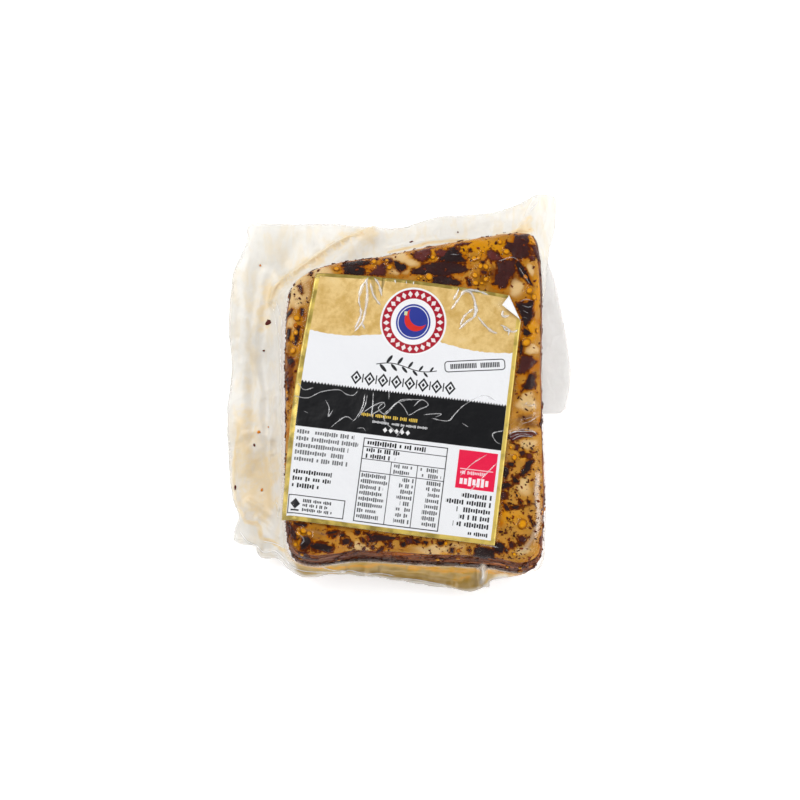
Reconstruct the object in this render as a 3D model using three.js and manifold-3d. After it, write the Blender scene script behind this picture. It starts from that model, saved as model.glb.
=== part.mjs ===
// A block of chilli-crusted flat pancetta, vacuum packed in a clear bag with a paper label.
// Millimetres, +Z up. The block lies on its back with the label on top, and -Y is the near edge.
// The origin is the middle of the pack's footprint, on the surface that the pack lies on.
import * as THREE from "three";
import { mergeVertices } from "three/addons/utils/BufferGeometryUtils.js";
import Module from "manifold-3d";

const wasm = await Module();
wasm.setup();

// The block of meat: its middle, height, and the roundings of its upper and lower edges
const MIDDLE = new THREE.Vector2(6, -10);
const BLOCK_HEIGHT = 36;
const SHOULDER = 7;
const FOOT = 6;

// The block seen from above. Its far edge was cut aslant, so it is longer on the right.
const BLOCK_EDGE = [
  [61.2, 0], [61.3, 52], [58.5, 62.5], [51, 64.2], [20, 59.3], [-12, 53], [-35, 48.3], [-46, 41.5],
  [-49.2, 30], [-49.3, -20], [-48.2, -66], [-45.5, -76.5], [-38, -79.8], [-17, -77.8], [8, -79.2],
  [38, -80.8], [51, -83.2], [58.6, -79.6], [61, -66],
];

// The sealed bag seen from above, without the end that is folded under the block
const BAG_EDGE = [
  [62.3, 0], [62.6, 34], [64.6, 44], [66.8, 62], [70.3, 78], [69.8, 89], [62, 89.3], [54.3, 86],
  [45, 83], [27, 80.8], [18, 80], [0, 75.6], [-18, 75], [-31.6, 76.6], [-59, 76.2], [-68.3, 75],
  [-68, 69], [-74.3, 56], [-76.1, 38], [-76.1, 24], [-74.6, 12], [-75.9, -7], [-75.4, -29],
  [-72.8, -49], [-70, -57], [-72, -64.5], [-70, -68.8], [-62, -70.3], [-60.5, -74.6], [-52, -76.6],
  [-45, -82.4], [-40, -84.2], [-32, -83.6], [-17, -83.4], [0, -85.6], [17, -87.8], [29.5, -89.8],
  [36.5, -88.2], [39, -86], [52, -84], [60.2, -80.6], [62.4, -66],
];

// The end of the bag that is folded under the block and shows past its right side
const TAIL_EDGE = [
  [54, 60], [66, 62], [70.2, 49], [74.5, 24], [76.1, 9], [75.6, 1], [73.6, -8.2], [71.2, -10.6],
  [54, -13],
];
const TAIL_FLOOR = 0.5;
const TAIL_RISE = 0.05;

// How the bag's margin leaves the block, hangs and ripples
const FILM = 0.8;
const SEAM_HEIGHT = 16;
const REST_HEIGHT = 3.4;
const DRAPE_REACH = 7;
const WEB_REACH = 1.4;
const RIPPLE = 1.1;

// Where the pack's section has its points: directions round the middle, shares of the upper
// face and of the margin outwards, then of the margin's underside inwards, and arcs in degrees
const DIRECTIONS = 120;
const FACE_SHARES = [0.3, 0.55, 0.75, 0.9, 1];
const SHOULDER_ARC = [22, 42, 62, 80];
const MARGIN_SHARES = [0, 0.04, 0.12, 0.3, 0.55, 0.8, 1];
const UNDER_SHARES = [1, 0.6, 0.25];
const FOOT_ARC = [0, 45, 90];
const BASE_SHARE = 0.55;

// Pleats of the margin, each a ridge from one point to another
const PLEATS = [
  { from: [-36, 50], to: [-11, 72], height: 2.6, width: 3.2 },
  { from: [57, 66], to: [62, 88], height: 2.4, width: 3 },
  { from: [-46, -76], to: [-68, -58], height: 1.8, width: 3 },
  { from: [37, -81], to: [37, -88], height: 1.6, width: 2.4 },
  { from: [-52, 40], to: [-62, 66], height: 1.6, width: 4 },
];

// The label: a paper rectangle, turned, with its top right corner folded over. Its left edge
// bows out where it bends down over the block's edge.
const LABEL = { width: 90, height: 108, thickness: 0.3, gap: 0.42, x: 1.6, y: -15.5 };
const BOW = { depth: 2, reach: 12 };
const LABEL_TURN = THREE.MathUtils.degToRad(-7.2);
const EAR = { along: 7, down: 11.6, lift: 0.9, thickness: 0.4 };
const LABEL_COLUMNS = 28;
const LABEL_ROWS = 23;
const LABEL_STEEPEST = THREE.MathUtils.degToRad(40);

// Groove across the meat, right of the label
const GROOVE = { start: 47, y: -25, run: 5, slope: 0.22, width: 2.6, depth: 1.3 };

// Chilli in the crust: how far it stands proud, and how deep it is set in
const PROUD = 0.55;
const SUNK = 1.1;

// The largest flakes on top: place, length, width and turn in degrees
const LARGE_FLAKES = [
  [-17.3, 49.4, 7.6, 3.4, 0], [-20.7, 45.8, 9.3, 4.7, -3], [-8.2, 46.2, 7.2, 5.2, 35],
  [0.8, 48, 6.5, 3.9, -35], [9.5, 53.2, 7.6, 3.9, 18], [22.5, 53.2, 7.2, 6, 20],
  [19.8, 47.6, 19.5, 4.7, 2], [19.8, 42.2, 13.2, 3.6, -7], [40.2, 52.3, 6.4, 4.2, -35],
  [52.6, 57.6, 8.5, 6.5, 75], [46.4, 44.2, 9.3, 7.3, 60], [53, 46, 12.7, 3, -62],
  [54, 25.8, 10.6, 6, 62], [54.6, 3.7, 7.6, 6, 10], [55.3, -3.9, 5.5, 3.9, 80],
  [50.9, -26.8, 8.6, 2.6, 15], [53.4, -41, 7.2, 3.4, 55], [45, -48.2, 5.9, 3.6, 35],
  [41.4, -75.6, 7.2, 4, 8], [-43.4, 37.4, 3.8, 2.4, -60],
];

// Scattered flakes on top, the largest first. Those marked far lie mostly in the far half.
const FLAKE_SIZES = [
  { count: 8, length: 5, far: true },
  { count: 16, length: 3.6, far: true },
  { count: 28, length: 2.6, far: false },
];
const SEEDS = { count: 26, across: 2.8 };
const SCATTER = { left: -48, right: 62, near: -82, far: 64, clearOfEdge: 1.6, clearOfLabel: 0.9 };
const SIDE_FLAKES = { count: 24, length: 6, width: 5, fromDegrees: -150, overDegrees: 350 };

// Single flecks of chilli caught in the bag's margin: places
const SPECK = { length: 2.6, width: 2 };
const SPECKS = [
  [-62.8, 56.7], [-58.7, 30.2], [-60.3, 16.9], [-61.9, -20.3], [-64, -26.1], [-72, -43.9], [-60.2, -45.7],
  [4.9, 67],
];

// A repeatable row of numbers from 0 to 1
function numbersFrom(seed) {
  let state = seed;
  return () => {
    state = (Math.imul(state, 1664525) + 1013904223) >>> 0;
    return state / 2 ** 32;
  };
}

// A smooth closed line through the points, as many short steps
function smoothLoop(points, steps) {
  const corners = points.map(([x, y]) => new THREE.Vector3(x, y, 0));
  return new THREE.CatmullRomCurve3(corners, true, "centripetal").getPoints(steps).slice(0, steps);
}

const blockLoop = smoothLoop(BLOCK_EDGE, 760);
const bagLoop = smoothLoop(BAG_EDGE, 1260);

// How far a loop lies from the middle in a direction
function reach(loop, angle) {
  const dx = Math.cos(angle);
  const dy = Math.sin(angle);
  let found = 0;
  for (let i = 0; i < loop.length; i++) {
    const a = loop[i];
    const b = loop[(i + 1) % loop.length];
    const ax = a.x - MIDDLE.x;
    const ay = a.y - MIDDLE.y;
    const bx = b.x - MIDDLE.x;
    const by = b.y - MIDDLE.y;
    const sideA = ay * dx - ax * dy;
    const sideB = by * dx - bx * dy;
    if (sideA > 0 === sideB > 0) continue;
    const share = sideA / (sideA - sideB);
    const along = (ax + (bx - ax) * share) * dx + (ay + (by - ay) * share) * dy;
    found = Math.max(found, along);
  }
  return found;
}

function smoothStep(value, low, high) {
  return THREE.MathUtils.smoothstep(value, low, high);
}

// The meat's upper face without its rounded edge
function faceHeight(x, y) {
  const sway = 0.55 * Math.sin(x / 17 + 0.6) * Math.cos(y / 23) + 0.3 * Math.sin((x + y) / 11);
  const across = (y - GROOVE.y - GROOVE.slope * (x - GROOVE.start)) / GROOVE.width;
  const nearGroove = smoothStep(x, GROOVE.start, GROOVE.start + GROOVE.run);
  return BLOCK_HEIGHT + sway - GROOVE.depth * nearGroove * Math.exp(-across * across);
}

// How far a point lies inside the block's edge, measured from the middle
function inset(x, y) {
  const angle = Math.atan2(y - MIDDLE.y, x - MIDDLE.x);
  return reach(blockLoop, angle) - Math.hypot(x - MIDDLE.x, y - MIDDLE.y);
}

// The meat's upper face with its rounded edge, held to a greatest slope past the rounding
function topHeight(x, y, steepest = Math.PI / 2) {
  const past = SHOULDER - inset(x, y);
  if (past <= 0) return faceHeight(x, y);
  const turned = Math.asin(Math.min(past / SHOULDER, Math.sin(steepest)));
  const beyond = Math.max(0, past - SHOULDER * Math.sin(turned));
  const slope = steepest < Math.PI / 2 ? Math.tan(steepest) : 0;
  return faceHeight(x, y) - SHOULDER * (1 - Math.cos(turned)) - slope * beyond;
}

function distanceToLine(x, y, from, to) {
  const line = new THREE.Line3(new THREE.Vector3(...from, 0), new THREE.Vector3(...to, 0));
  const point = new THREE.Vector3(x, y, 0);
  return line.closestPointToPoint(point, true, new THREE.Vector3()).distanceTo(point);
}

// The upper face of the bag's margin, at a distance out from the block
function marginHeight(x, y, out, width, shoulderEnd) {
  const webReach = Math.min(WEB_REACH, 0.35 * width);
  const hang = (SEAM_HEIGHT - REST_HEIGHT) * Math.exp(-out / DRAPE_REACH);
  const web = (shoulderEnd - SEAM_HEIGHT) * Math.exp(-out / webReach);
  const loose = 1 - Math.exp(-out / 8);
  const ripple = Math.sin(x / 6.5 + 1.4 * Math.sin(y / 19)) + Math.sin(y / 7.5 + x / 31);
  let pleats = 0;
  for (const { from, to, height, width: wide } of PLEATS) {
    pleats += height * Math.exp(-((distanceToLine(x, y, from, to) / wide) ** 2));
  }
  return REST_HEIGHT + hang + web + RIPPLE * loose * ripple + pleats * Math.min(1, out / 2);
}

// One closed mesh from rings that run from the top pole to the bottom pole
function closedRings(rings, topPole, bottomPole) {
  const count = rings[0].length;
  const positions = [...topPole, ...rings.flat(2), ...bottomPole];
  const last = rings.length * count + 1;
  const faces = [];
  for (let i = 0; i < count; i++) {
    const next = (i + 1) % count;
    faces.push(0, 1 + i, 1 + next);
    for (let ring = 0; ring < rings.length - 1; ring++) {
      const here = 1 + ring * count;
      const below = here + count;
      faces.push(here + i, below + i, below + next, here + i, below + next, here + next);
    }
    const lowest = 1 + (rings.length - 1) * count;
    faces.push(lowest + i, last, lowest + next);
  }
  const geometry = new THREE.BufferGeometry();
  geometry.setAttribute("position", new THREE.Float32BufferAttribute(positions, 3));
  geometry.setIndex(faces);
  return geometry;
}

// The pack's section in one direction: pairs of distance from the middle and height
function sectionAt(angle) {
  const edge = reach(blockLoop, angle);
  const width = Math.max(reach(bagLoop, angle) - edge, 0.9);
  const place = (r) => [MIDDLE.x + r * Math.cos(angle), MIDDLE.y + r * Math.sin(angle)];
  const section = [];
  for (const share of FACE_SHARES) {
    const r = share * (edge - SHOULDER);
    section.push([r, faceHeight(...place(r))]);
  }
  for (const degrees of SHOULDER_ARC) {
    const turned = THREE.MathUtils.degToRad(degrees);
    const r = edge - SHOULDER * (1 - Math.sin(turned));
    section.push([r, faceHeight(...place(r)) - SHOULDER * (1 - Math.cos(turned))]);
  }
  const shoulderEnd = faceHeight(...place(edge)) - SHOULDER;
  const margin = (out) => marginHeight(...place(edge + out), out, width, shoulderEnd);
  for (const share of MARGIN_SHARES) {
    section.push([edge + share * width, margin(share * width)]);
  }
  for (const share of UNDER_SHARES) {
    section.push([edge + share * width, underside(margin(share * width))]);
  }
  section.push([edge, SEAM_HEIGHT - 2 * FILM]);
  for (const degrees of FOOT_ARC) {
    const turned = THREE.MathUtils.degToRad(degrees);
    section.push([edge - FOOT * (1 - Math.cos(turned)), FOOT * (1 - Math.sin(turned))]);
  }
  section.push([BASE_SHARE * (edge - FOOT), 0]);
  return section;
}

function underside(height) {
  return Math.max(height - FILM, 0.2);
}

// Directions from the middle that are evenly spaced along the block's edge
function evenDirections(count) {
  const step = blockLoop.length / count;
  return Array.from({ length: count }, (_, i) => {
    const point = blockLoop[Math.floor(i * step)];
    return Math.atan2(point.y - MIDDLE.y, point.x - MIDDLE.x);
  }).sort((a, b) => a - b);
}

// The block in its tight bag, with the bag's margin round it
function bagAndBlock() {
  const angles = evenDirections(DIRECTIONS);
  const sections = angles.map(sectionAt);
  const rings = sections[0].map((_, ring) =>
    sections.map((section, i) => {
      const [r, z] = section[ring];
      return [MIDDLE.x + r * Math.cos(angles[i]), MIDDLE.y + r * Math.sin(angles[i]), z];
    }),
  );
  const top = [MIDDLE.x, MIDDLE.y, faceHeight(MIDDLE.x, MIDDLE.y)];
  return closedRings(rings, top, [MIDDLE.x, MIDDLE.y, 0]);
}

// The folded end of the bag, a flat double layer that rises a little outwards
function tail() {
  const outline = new THREE.Shape(TAIL_EDGE.map(([x, y]) => new THREE.Vector2(x, y)));
  const sheet = new THREE.ExtrudeGeometry(outline, { depth: FILM, bevelEnabled: false });
  const at = sheet.attributes.position;
  for (let i = 0; i < at.count; i++) {
    at.setZ(i, at.getZ(i) + TAIL_FLOOR + TAIL_RISE * (at.getX(i) - TAIL_EDGE[0][0]));
  }
  return sheet;
}

// An uneven flat chip or, with more corners and less wobble, a round seed
function chip(length, width, corners, wobble, random) {
  const outline = new THREE.Shape(
    Array.from({ length: corners }, (_, i) => {
      const angle = ((i + wobble * (random() - 0.5)) * 2 * Math.PI) / corners;
      const swell = 1 - wobble * 0.5 * random();
      return new THREE.Vector2((length / 2) * swell * Math.cos(angle), (width / 2) * swell * Math.sin(angle));
    }),
  );
  const solid = new THREE.ExtrudeGeometry(outline, { depth: PROUD + SUNK, bevelEnabled: false });
  return solid.translate(0, 0, -SUNK);
}

// A chip laid on the surface at a point, square to the normal and turned about it
function laid(piece, point, normal, turn) {
  const upright = new THREE.Vector3(0, 0, 1);
  const spin = new THREE.Quaternion().setFromAxisAngle(upright, turn);
  const lean = new THREE.Quaternion().setFromUnitVectors(upright, normal);
  return piece.applyQuaternion(lean.multiply(spin)).translate(point.x, point.y, point.z);
}

function topPoint(x, y) {
  const step = 0.4;
  const slopeX = (topHeight(x + step, y) - topHeight(x - step, y)) / (2 * step);
  const slopeY = (topHeight(x, y + step) - topHeight(x, y - step)) / (2 * step);
  return {
    point: new THREE.Vector3(x, y, topHeight(x, y)),
    normal: new THREE.Vector3(-slopeX, -slopeY, 1).normalize(),
  };
}

// How far a point lies outside the label's rectangle, or less than 0 on it
function pastLabel(x, y) {
  const flat = new THREE.Vector2(x - LABEL.x, y - LABEL.y);
  flat.rotateAround(new THREE.Vector2(), -LABEL_TURN);
  return Math.max(Math.abs(flat.x) - LABEL.width / 2, Math.abs(flat.y) - LABEL.height / 2);
}

// Flakes and seeds on top: the large ones by place, the rest scattered evenly round the label
function toppings() {
  const random = numbersFrom(7);
  const pieces = [];
  const taken = [];
  const put = (x, y, length, width, degrees, corners, wobble) => {
    const { point, normal } = topPoint(x, y);
    const turn = THREE.MathUtils.degToRad(degrees);
    pieces.push(laid(chip(length, width, corners, wobble, random), point, normal, turn));
    taken.push([x, y, length / 2]);
  };
  for (const [x, y, length, width, degrees] of LARGE_FLAKES) put(x, y, length, width, degrees, 6, 0.5);
  const scatter = (count, length, far, make) => {
    for (let left = count, tries = 0; left > 0 && tries < 4000; tries++) {
      const x = THREE.MathUtils.lerp(SCATTER.left, SCATTER.right, random());
      const y = THREE.MathUtils.lerp(SCATTER.near, SCATTER.far, random());
      const size = length * (0.8 + 0.4 * random());
      if (inset(x, y) < SCATTER.clearOfEdge) continue;
      if (pastLabel(x, y) < size / 2 + SCATTER.clearOfLabel) continue;
      if (far && y < 0 && random() < 0.7) continue;
      if (taken.some(([tx, ty, radius]) => Math.hypot(x - tx, y - ty) < 0.9 * (radius + size / 2))) continue;
      make(x, y, size);
      left--;
    }
  };
  for (const { count, length, far } of FLAKE_SIZES) {
    scatter(count, length, far, (x, y, size) => put(x, y, size, size * 0.65, 360 * random(), 5, 0.6));
  }
  scatter(SEEDS.count, SEEDS.across, false, (x, y, size) => {
    put(x, y, size, size * 0.85, 360 * random(), 6, 0.1);
  });
  return pieces;
}

// Flakes that lie flat against the near and right walls, above and below the seam
function sideFlakes() {
  const random = numbersFrom(23);
  const pieces = [];
  const step = 0.01;
  for (let i = 0; i < SIDE_FLAKES.count; i++) {
    const share = (i + random()) / SIDE_FLAKES.count;
    const angle = THREE.MathUtils.degToRad(SIDE_FLAKES.fromDegrees + SIDE_FLAKES.overDegrees * share);
    const edge = reach(blockLoop, angle);
    const ahead = reach(blockLoop, angle + step);
    const run = new THREE.Vector3(
      ahead * Math.cos(angle + step) - edge * Math.cos(angle),
      ahead * Math.sin(angle + step) - edge * Math.sin(angle),
      0,
    );
    const normal = new THREE.Vector3(run.y, -run.x, 0).normalize();
    const point = new THREE.Vector3(MIDDLE.x + edge * Math.cos(angle), MIDDLE.y + edge * Math.sin(angle), 0);
    const upper = i % 2 === 0;
    point.z = upper ? 21 + 5 * random() : 7.5 + 3 * random();
    if (upper) point.addScaledVector(normal, WEB_REACH / 3);
    const length = SIDE_FLAKES.length * (0.7 + 0.6 * random());
    const made = chip(SIDE_FLAKES.width, length, 5, 0.5, random);
    pieces.push(laid(made, point, normal, 0.4 * (random() - 0.5)));
  }
  return pieces;
}

// Single flecks of chilli caught in the margin
function marginSpecks() {
  const random = numbersFrom(5);
  return SPECKS.map(([x, y]) => {
    const angle = Math.atan2(y - MIDDLE.y, x - MIDDLE.x);
    const edge = reach(blockLoop, angle);
    const out = Math.hypot(x - MIDDLE.x, y - MIDDLE.y) - edge;
    const width = reach(bagLoop, angle) - edge;
    const shoulderEnd = faceHeight(x, y) - SHOULDER;
    const point = new THREE.Vector3(x, y, marginHeight(x, y, out, width, shoulderEnd) - PROUD);
    const made = chip(SPECK.length, SPECK.width, 4, 0.4, random);
    return laid(made, point, new THREE.Vector3(0, 0, 1), Math.PI * random());
  });
}

// The label's flat sheet with its folded corner, its lower left corner at the origin
function flatLabel() {
  const { width, height, thickness } = LABEL;
  const sheet = new THREE.BoxGeometry(width, height, thickness, LABEL_COLUMNS, LABEL_ROWS, 1);
  sheet.translate(width / 2, height / 2, thickness / 2);
  const corner = new THREE.Vector2(width, height);
  const start = new THREE.Vector2(width - EAR.along, height);
  const end = new THREE.Vector2(width, height - EAR.down);
  const past = new THREE.Vector2(1, 1);
  const cut = new THREE.Shape([
    start,
    end,
    end.clone().setX(width + past.x),
    corner.clone().add(past),
    start.clone().setY(height + past.y),
  ]);
  const wedge = new THREE.ExtrudeGeometry(cut, { depth: 4, bevelEnabled: false }).translate(0, 0, -2);
  const fold = end.clone().sub(start).normalize();
  const along = fold.clone().multiplyScalar(corner.clone().sub(start).dot(fold));
  const tip = start.clone().add(along).multiplyScalar(2).sub(corner);
  const low = [[start, 0], [end, 0], [tip, thickness + EAR.lift]];
  const positions = [0, EAR.thickness].flatMap((rise) => low.flatMap(([p, z]) => [p.x, p.y, z + rise]));
  const ear = new THREE.BufferGeometry();
  ear.setAttribute("position", new THREE.Float32BufferAttribute(positions, 3));
  ear.setIndex([0, 1, 2, 3, 5, 4, 0, 4, 1, 0, 3, 4, 1, 5, 2, 1, 4, 5, 2, 3, 0, 2, 5, 3]);
  return solidOf(sheet).subtract(solidOf(wedge)).add(solidOf(ear));
}

// The flat label laid over the block, clear of it by its gap
function labelGeometry() {
  const geometry = geometryOf(flatLabel());
  const at = geometry.attributes.position;
  const centre = new THREE.Vector2();
  for (let i = 0; i < at.count; i++) {
    const nearLeft = Math.max(0, 1 - at.getX(i) / BOW.reach);
    const bow = BOW.depth * nearLeft * Math.sin((Math.PI * at.getY(i)) / LABEL.height);
    const flat = new THREE.Vector2(at.getX(i) - bow - LABEL.width / 2, at.getY(i) - LABEL.height / 2);
    flat.rotateAround(centre, LABEL_TURN);
    const x = flat.x + LABEL.x;
    const y = flat.y + LABEL.y;
    at.setXYZ(i, x, y, topHeight(x, y, LABEL_STEEPEST) + LABEL.gap + at.getZ(i));
  }
  geometry.computeVertexNormals();
  return geometry;
}

// A three.js geometry as a solid that can be joined and cut
function solidOf(geometry) {
  const bare = geometry.clone();
  bare.deleteAttribute("normal");
  bare.deleteAttribute("uv");
  const merged = mergeVertices(bare, 1e-4);
  const triVerts = new Uint32Array(merged.index.array);
  const vertProperties = merged.attributes.position.array;
  const solid = new wasm.Manifold(new wasm.Mesh({ numProp: 3, vertProperties, triVerts }));
  if (solid.volume() > 0) return solid;
  return new wasm.Manifold(new wasm.Mesh({ numProp: 3, vertProperties, triVerts: triVerts.reverse() }));
}

function geometryOf(solid) {
  const { vertProperties, triVerts } = solid.getMesh();
  const geometry = new THREE.BufferGeometry();
  geometry.setAttribute("position", new THREE.BufferAttribute(new Float32Array(vertProperties), 3));
  geometry.setIndex(new THREE.BufferAttribute(new Uint32Array(triVerts), 1));
  geometry.computeVertexNormals();
  return geometry;
}

function packGeometry() {
  let solid = solidOf(bagAndBlock()).add(solidOf(tail()));
  for (const piece of [...toppings(), ...sideFlakes(), ...marginSpecks()]) solid = solid.add(solidOf(piece));
  return geometryOf(solid);
}

function piece(name, geometry, material) {
  const mesh = new THREE.Mesh(geometry, new THREE.MeshStandardMaterial(material));
  mesh.name = name;
  return mesh;
}

const pack = new THREE.Group();
pack.add(piece("sealed_pack", packGeometry(), { color: 0xa8702e, roughness: 0.25, metalness: 0 }));
pack.add(piece("label", labelGeometry(), { color: 0xe8e6e0, roughness: 0.4, metalness: 0 }));

// The origin comes to the exact middle of the footprint
const reachOfAll = new THREE.Box3().setFromObject(pack);
pack.position.x = -(reachOfAll.min.x + reachOfAll.max.x) / 2;
pack.position.y = -(reachOfAll.min.y + reachOfAll.max.y) / 2;

export default pack;
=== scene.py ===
"""A vacuum-packed block of chilli pancetta: meat, chilli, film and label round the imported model."""

import logging
import math
from dataclasses import dataclass, field
from enum import Enum
from functools import reduce
from typing import Any, Callable, Sequence

import bpy
import numpy as np
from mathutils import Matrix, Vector
from mathutils.bvhtree import BVHTree
from mathutils.kdtree import KDTree


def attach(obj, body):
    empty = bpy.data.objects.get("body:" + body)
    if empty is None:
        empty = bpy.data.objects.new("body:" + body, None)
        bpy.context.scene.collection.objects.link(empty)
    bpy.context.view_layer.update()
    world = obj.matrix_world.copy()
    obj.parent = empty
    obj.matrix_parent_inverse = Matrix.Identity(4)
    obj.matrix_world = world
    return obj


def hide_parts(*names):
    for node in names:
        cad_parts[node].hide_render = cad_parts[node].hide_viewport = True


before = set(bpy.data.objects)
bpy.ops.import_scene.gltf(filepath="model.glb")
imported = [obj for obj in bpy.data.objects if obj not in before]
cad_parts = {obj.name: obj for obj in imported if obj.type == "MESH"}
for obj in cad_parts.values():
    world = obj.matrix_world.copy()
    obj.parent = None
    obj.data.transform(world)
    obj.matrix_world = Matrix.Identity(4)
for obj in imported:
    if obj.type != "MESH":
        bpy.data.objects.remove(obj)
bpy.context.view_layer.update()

LOG = logging.getLogger("pancetta")
MM = 0.001
TURN = 2 * math.pi
RAY_START = 60.0
Array = np.ndarray
Piece = bpy.types.Object
Colour = tuple[float, float, float, float]
Line = tuple[tuple[float, float], ...]
Stroke = tuple[Line, float, float]

# Creases of the film over the label's gold field, in millimetres from the label's lower left corner
GOLD_CREASES: tuple[Line, ...] = (
    ((22.8, 107.4), (20.6, 103.1), (20, 97.8), (21.7, 92), (19.7, 84.7)), ((22, 106.3), (23.3, 99.7),
    (23.3, 92.9), (22.6, 88.4), (19.8, 83.9)), ((22.6, 88.4), (24.3, 85.6)), ((23.9, 105), (26, 100),
    (29.8, 96)), ((25.3, 107.4), (27.6, 104.7), (29.7, 99.7)), ((34.2, 107.6), (34.8, 105.6)),
    ((39.2, 107.6), (39.3, 106)), ((42.5, 107.6), (42.2, 106)), ((62, 107.5), (61.5, 105.2), (60.1, 101.7)),
    ((59.8, 97.9), (62.5, 102.8), (64.6, 106.4), (67.1, 106.3), (69.3, 103.2), (70.1, 99.6), (70, 96.6),
    (67.1, 94), (64, 90.2)), ((64.5, 92.2), (65.8, 96.1), (67.7, 98.2), (69.3, 99.9)), ((71.5, 96.8),
    (74.7, 93.8), (78.6, 91.3), (81.1, 90.9)), ((81.4, 94.7), (85.2, 93.3), (85.5, 90.4)), ((84.4, 93.2),
    (87.4, 92.5), (89.4, 93.9)), ((81.8, 101.1), (82.1, 98.5), (85.2, 99.3)), ((65.2, 107.2), (70.4, 107.4),
    (75.5, 106.4)), ((69.2, 102.4), (70.8, 99.2), (69.6, 95.8)), ((81, 100.2), (83, 100.4)), ((82.6, 94.6),
    (84.2, 92.6), (86.2, 93.6)))
TOP_FOLD: Line = ((29.1, 108), (28.7, 104.9), (29.8, 99))

# Creases of the film over the label's black band and white field, in the same way
BAND_CREASES: tuple[Line, ...] = (
    ((0.6, 59.2), (3.5, 56.2), (6.9, 57.8)), ((-0.4, 53.2), (5, 52.8), (9.3, 55.9), (13, 57.4), (17.2, 58),
    (20.2, 56.5), (23.1, 56.5), (24.9, 58.9)), ((11.8, 52.9), (13.7, 49.5), (13.8, 45.8), (15.5, 49.3)),
    ((4, 47.2), (6.3, 46.3)), ((15.5, 41.3), (17.7, 43.8), (21.5, 46.8), (24.6, 45.4)), ((27.9, 57.9),
    (27.6, 52), (25.5, 46.6), (24.3, 45)), ((29, 57.6), (28.6, 52.5), (26.2, 46.3)), ((31.3, 59),
    (31.9, 51.8), (31.9, 48.9), (33.3, 46.5)), ((28.3, 49.5), (32.1, 52.9), (36.2, 54.9), (37, 53.5),
    (34.5, 51), (30.6, 48)), ((37.1, 49.9), (39.9, 53.2), (42.5, 55.7), (44.8, 54.1), (47.3, 50.8)),
    ((42.5, 55.7), (46.5, 57.3), (52.9, 58.1)), ((36.8, 55.3), (34.4, 52.1), (37.5, 49.9), (41.2, 54.8),
    (43.7, 56.9), (47.9, 57.8)), ((49, 54.7), (52.2, 58), (55.2, 56.2), (51.3, 53.5), (47.3, 50.8),
    (46.4, 52.5)), ((53.7, 51.6), (57.1, 52.4), (61.3, 52.9), (58.7, 51.1)), ((36.8, 49.8), (37.9, 46.7),
    (41.1, 44.2), (45, 41.1)), ((46.5, 46.3), (44.8, 43.2), (43.3, 40.5)), ((57.3, 50.6), (61.7, 50.1),
    (64.8, 50.5), (66.9, 53.6), (69.4, 56.9), (71.6, 59), (75.2, 61.6), (78.6, 63.2), (83.8, 61.3)),
    ((70.2, 50.1), (72.1, 49.2), (73.2, 48.6)), ((88.4, 49.1), (83.7, 47), (85.4, 44), (88, 42.9)),
    ((26.4, 42.3), (29.2, 42.7), (30.4, 41.4)), ((38, 59.9), (38.3, 56.2)), ((72.2, 27.5), (76.6, 33.2),
    (82.8, 38.3)), ((77.1, 21.6), (82.2, 28.7), (87.3, 35.4)))

# Creases of the film over the meat, in the pack's own plan
MEAT_CREASES: tuple[Line, ...] = (
    ((53.1, -13.4), (55.2, -14.7), (57.4, -13.9), (57.7, -16.5)), ((52.4, -15), (54.4, -13), (56.6, -15.6)),
    ((50.9, -22.6), (55.1, -21.3), (59.4, -18.2)), ((52.5, -20.6), (56.5, -19.4)), ((46.6, -26.9),
    (49.6, -25.2), (52.9, -24.7), (57.2, -25.6)), ((46.2, -28.6), (50.8, -26.9), (56.7, -27.8)),
    ((21.6, 52.4), (26, 52.2)), ((42.4, 49.1), (48.4, 50.9), (51.9, 49.1)), ((-43.5, -68.8), (-40.1, -72.2),
    (-41.8, -74.7)), ((51.4, 46.4), (53.5, 42.8), (56, 38.8)), ((33.4, -74.3), (41.8, -75.5)), ((30.3, 49.1),
    (34.6, 50.9)), ((51.5, 31), (54, 32), (56.8, 31.5)), ((52.4, 29.5), (55, 28.5), (57, 29.3)),
    ((52.8, 27.2), (55.2, 25.8)), ((53, 24.5), (54.8, 23.4)))

# Wide soft folds of the film over the meat and in the margins, with their widths and how milky they are; the
# milky crest is partly whitened film and partly a painted highlight
SOFT_FOLDS: tuple[Stroke, ...] = (
    (((46.5, -26.7), (49.5, -25.8), (53.3, -25.8), (56.7, -25.8), (57.9, -27.1)), 0.9, 0.6), (((47.3, -29.7),
    (50.3, -28), (54.1, -28), (56.6, -28.4)), 0.8, 0.5), (((-69.5, -64), (-66.4, -68), (-61.6, -70.6),
    (-59.4, -72.8), (-53.7, -73.2), (-49.3, -77.2), (-45, -81.1), (-38.9, -82.6), (-30.2, -82.8),
    (-21.6, -82.2)), 1.3, 1.0), (((-59.9, -68), (-54.2, -69.7), (-49, -72.8), (-45, -77.2)), 1.0, 0.9),
    (((-33.7, -81.2), (-28.1, -82.2), (-21.6, -82), (-15.1, -83.2), (-8.6, -83), (-1.7, -84.2)), 1.0, 0.9),
    (((0, -85), (6.5, -85.6), (12.9, -86.6), (20.7, -88)), 1.1, 0.9), (((34.6, -81.1), (35.4, -84.1),
    (34.5, -87)), 1.5, 1.0), (((37.6, -81.1), (37.1, -84.1), (36.3, -86.6)), 0.9, 0.8), (((57.4, 80),
    (60.4, 83.5), (62.6, 86)), 1.0, 0.7), (((-55.4, 40.7), (-54, 35.1), (-52.1, 28.6), (-51.1, 19.9)), 1.0,
    0.8), (((-56.7, 37.9), (-55.3, 30.5), (-53.4, 22.2), (-52.3, 13), (-51.7, 1.6)), 0.9, 0.7),
    (((-54, -51.2), (-52.3, -54.7), (-53.1, -57.7), (-50.9, -59)), 1.1, 1.0))

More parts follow.
